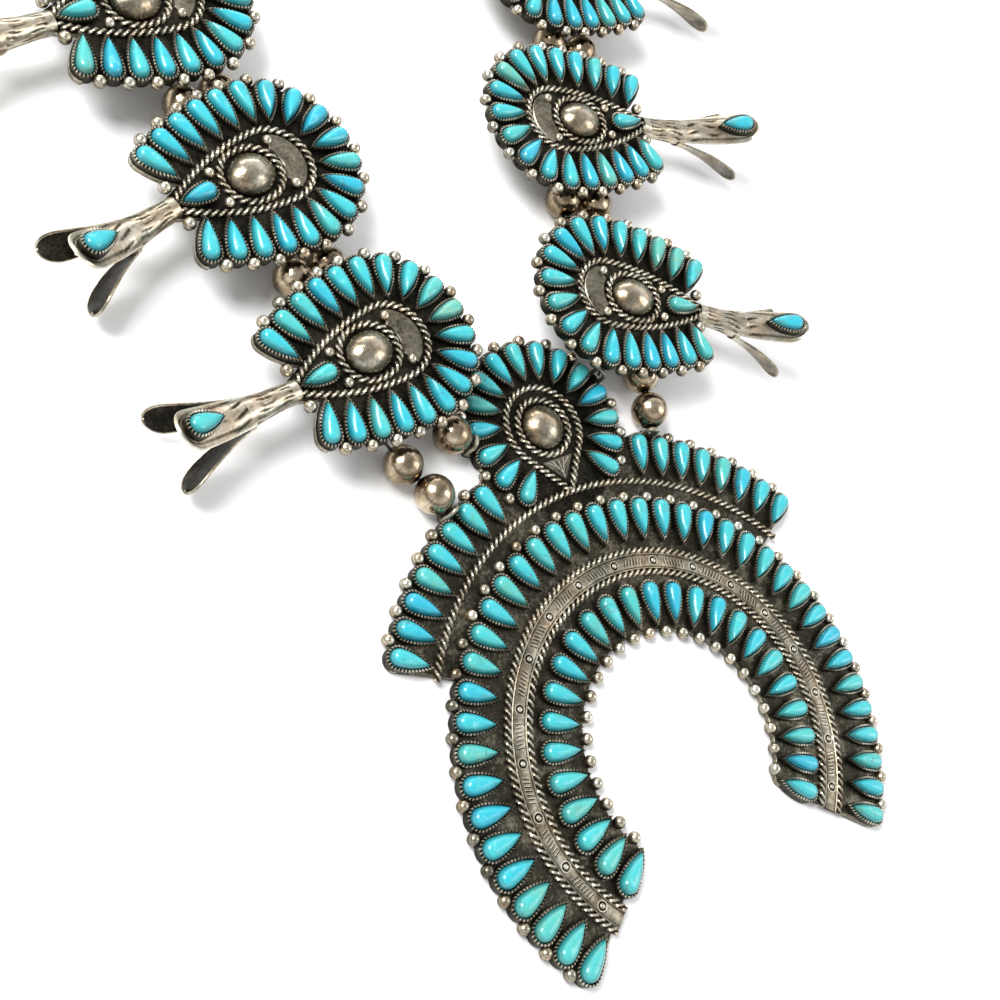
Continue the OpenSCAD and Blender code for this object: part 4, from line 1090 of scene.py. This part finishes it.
def make_beads(name):
    p, c = ROUTES[name]
    side = name.split("_")[0]
    s = [shank_length(p, c, side, index, e) for index in (1, 2, 3) for e in (-1, 1)]
    clear = LOOP_WIRE + BEAD_GAP
    # Each run of beads: its start and end, and whether the beads spread out over it
    runs = [
        (0.55 + clear, s[0] - clear, False), (s[1] + clear, s[2] - clear, True),
        (s[3] + clear, s[4] - clear, True), (s[5] + clear, c[-1] - BAR_T / 2 - BEAD_GAP, True)]
    out = Build()
    for lo, hi, even in runs:
        n = max(int((hi - lo + BEAD_GAP) // (BEAD_D + BEAD_GAP)), 0)
        step = (hi - lo) / max(n, 1) if even else BEAD_D + BEAD_GAP
        for i in range(n):
            at = lo + step * (i + 0.5)
            a, b = at_length(p, c, at - BEAD_R / 2)[0], at_length(p, c, at + BEAD_R / 2)[0]
            heading = Matrix.Rotation(atan2(b[1] - a[1], b[0] - a[0]), 4, "Z")
            lying = Matrix.Rotation(pi / 2, 4, "Y") @ Matrix.Rotation(rng.random() * 6.28, 4, "Z")
            out.stamp(BEAD.turned(Matrix.Translation(Vector((a + b) / 2)) @ heading @ lying))
    out.mesh(f"{name}_round_beads", "bead_silver", (f"{name}_beads",), 50)


# The clasp
def end_bar(out, side):
    """A bar with rounded corners and three engraved lines."""
    x, half_t, half_l, r = CLASP[0] + side * BAR_X, BAR_T / 2, BAR_L / 2, 0.7
    outline = []
    for kx, ky, a0 in ((1, 1, 0), (-1, 1, 90), (-1, -1, 180), (1, -1, 270)):
        for k in range(7):
            dx, dy = polar(r, a0 + k * 15)
            outline.append((kx * (half_t - r) + dx, ky * (half_l - r) + dy))
    out.stamp(prism(outline, BEAD_R - half_t, BEAD_R + half_t, 0.75, 0.7, 0.35), x, CLASP[1])
    for k in (-1, 0, 1):
        y, z = CLASP[1] + k * 3.2, BEAD_R + half_t
        out.stamp(tube([(x - half_t + 0.5, y, z), (x + half_t - 0.5, y, z)], 0.16, 6, 0.1))


def make_clasp():
    hook, eye = Build(), Build()
    cx, cy = CLASP
    end_bar(hook, -1)
    bend = arc_path(cx, cy + HOOK_R / 2, HOOK_R, -90, 110, BEAD_R, 39)
    stem = [(cx - BAR_X, cy - HOOK_R / 2, BEAD_R), (cx - 1, cy - HOOK_R / 2, BEAD_R)]
    hook.stamp(tube(np.concatenate([stem, bend]), HOOK_WIRE, 14, 0.75))
    hook.mesh("clasp_hook_wire", "bead_silver", ("clasp_hook",))
    end_bar(eye, 1)
    eye_r = HOOK_R + 0.2
    x, y = cx + eye_r + 0.7, cy + HOOK_R / 2
    across, up = around(eye_r, full_turn(48)).T
    ring = np.stack([x + across, np.full(48, y), BEAD_R + up], 1)
    eye.stamp(tube(ring, HOOK_WIRE * 0.85, 14, 0.75, closed=True, up=(0, 1, 0)))
    eye.stamp(tube([(x + eye_r, y, BEAD_R), (cx + BAR_X, y, BEAD_R)], HOOK_WIRE, 14, 0.75))
    eye.mesh("clasp_eye_ring", "bead_silver", ("clasp_eye",))


ROUTES = {name: route_of(name) for name in LOOPS}

make_naja()
for side in ("left", "right"):
    for index in (1, 2, 3):
        make_plate(side, index)
for name in ROUTES:
    make_beads(name)
for name, (path, _) in ROUTES.items():
    thread = rope(path, THREAD_R, 2.2, False, 6, 5)
    thread.mesh(f"{name}_twisted_thread", "thread", (f"{name}_thread",))
make_clasp()

# Floor, light and camera
bpy.ops.mesh.primitive_plane_add(size=8, location=(0, 0.08, -0.0002))
floor = bpy.context.object
floor.name = "floor"
floor.data.materials.append(material("paper", (0.93, 0.93, 0.93), 0.0, 0.9)[0])

world = bpy.data.worlds.new("studio")
scene.world = world
world.use_nodes = True
sky = world.node_tree
background = sky.nodes["Background"]
background.inputs["Strength"].default_value = 0.95
split = sky.nodes.new("ShaderNodeSeparateXYZ")
sky.links.new(sky.nodes.new("ShaderNodeTexCoord").outputs["Generated"], split.inputs["Vector"])
greys = [
    (0.0, 0.8), (0.1, 0.8), (0.15, 0.2), (0.22, 0.3), (0.4, 1.1), (0.66, 1.1), (0.82, 0.5), (1.0, 0.42)]
sky.links.new(ramp(sky, greys, split.outputs["Z"]), background.inputs["Color"])

LAMPS = (
    ("key", (-0.4, 0.35, 0.55), (0, 0.06, 0), (0.34, 0.34), 7),
    ("fill", (0.5, -0.25, 0.5), (0, 0.06, 0), (0.3, 0.5), 1.2),
    ("back", (0.15, 0.75, 0.3), (0, 0.1, 0), (0.6, 0.12), 1.2),
)
for name, place, target, size, power in LAMPS:
    data = bpy.data.lights.new(name, "AREA")
    data.shape = "RECTANGLE"
    data.size, data.size_y = size
    data.energy = power
    lamp = bpy.data.objects.new(name, data)
    lamp.location = place
    lamp.rotation_euler = (Vector(target) - Vector(place)).to_track_quat("-Z", "Y").to_euler()
    scene.collection.objects.link(lamp)

scene.view_settings.view_transform = "Standard"
camera = bpy.data.cameras.new("photo")
camera.sensor_width = 36
camera.lens = 48.48
camera.clip_start = 0.01
viewer = bpy.data.objects.new("photo", camera)
viewer.location = (-0.15856, -0.01763, 0.20646)
viewer.rotation_euler = [radians(a) for a in (21.1333, -28.7645, -24.2602)]
scene.collection.objects.link(viewer)
scene.camera = viewer
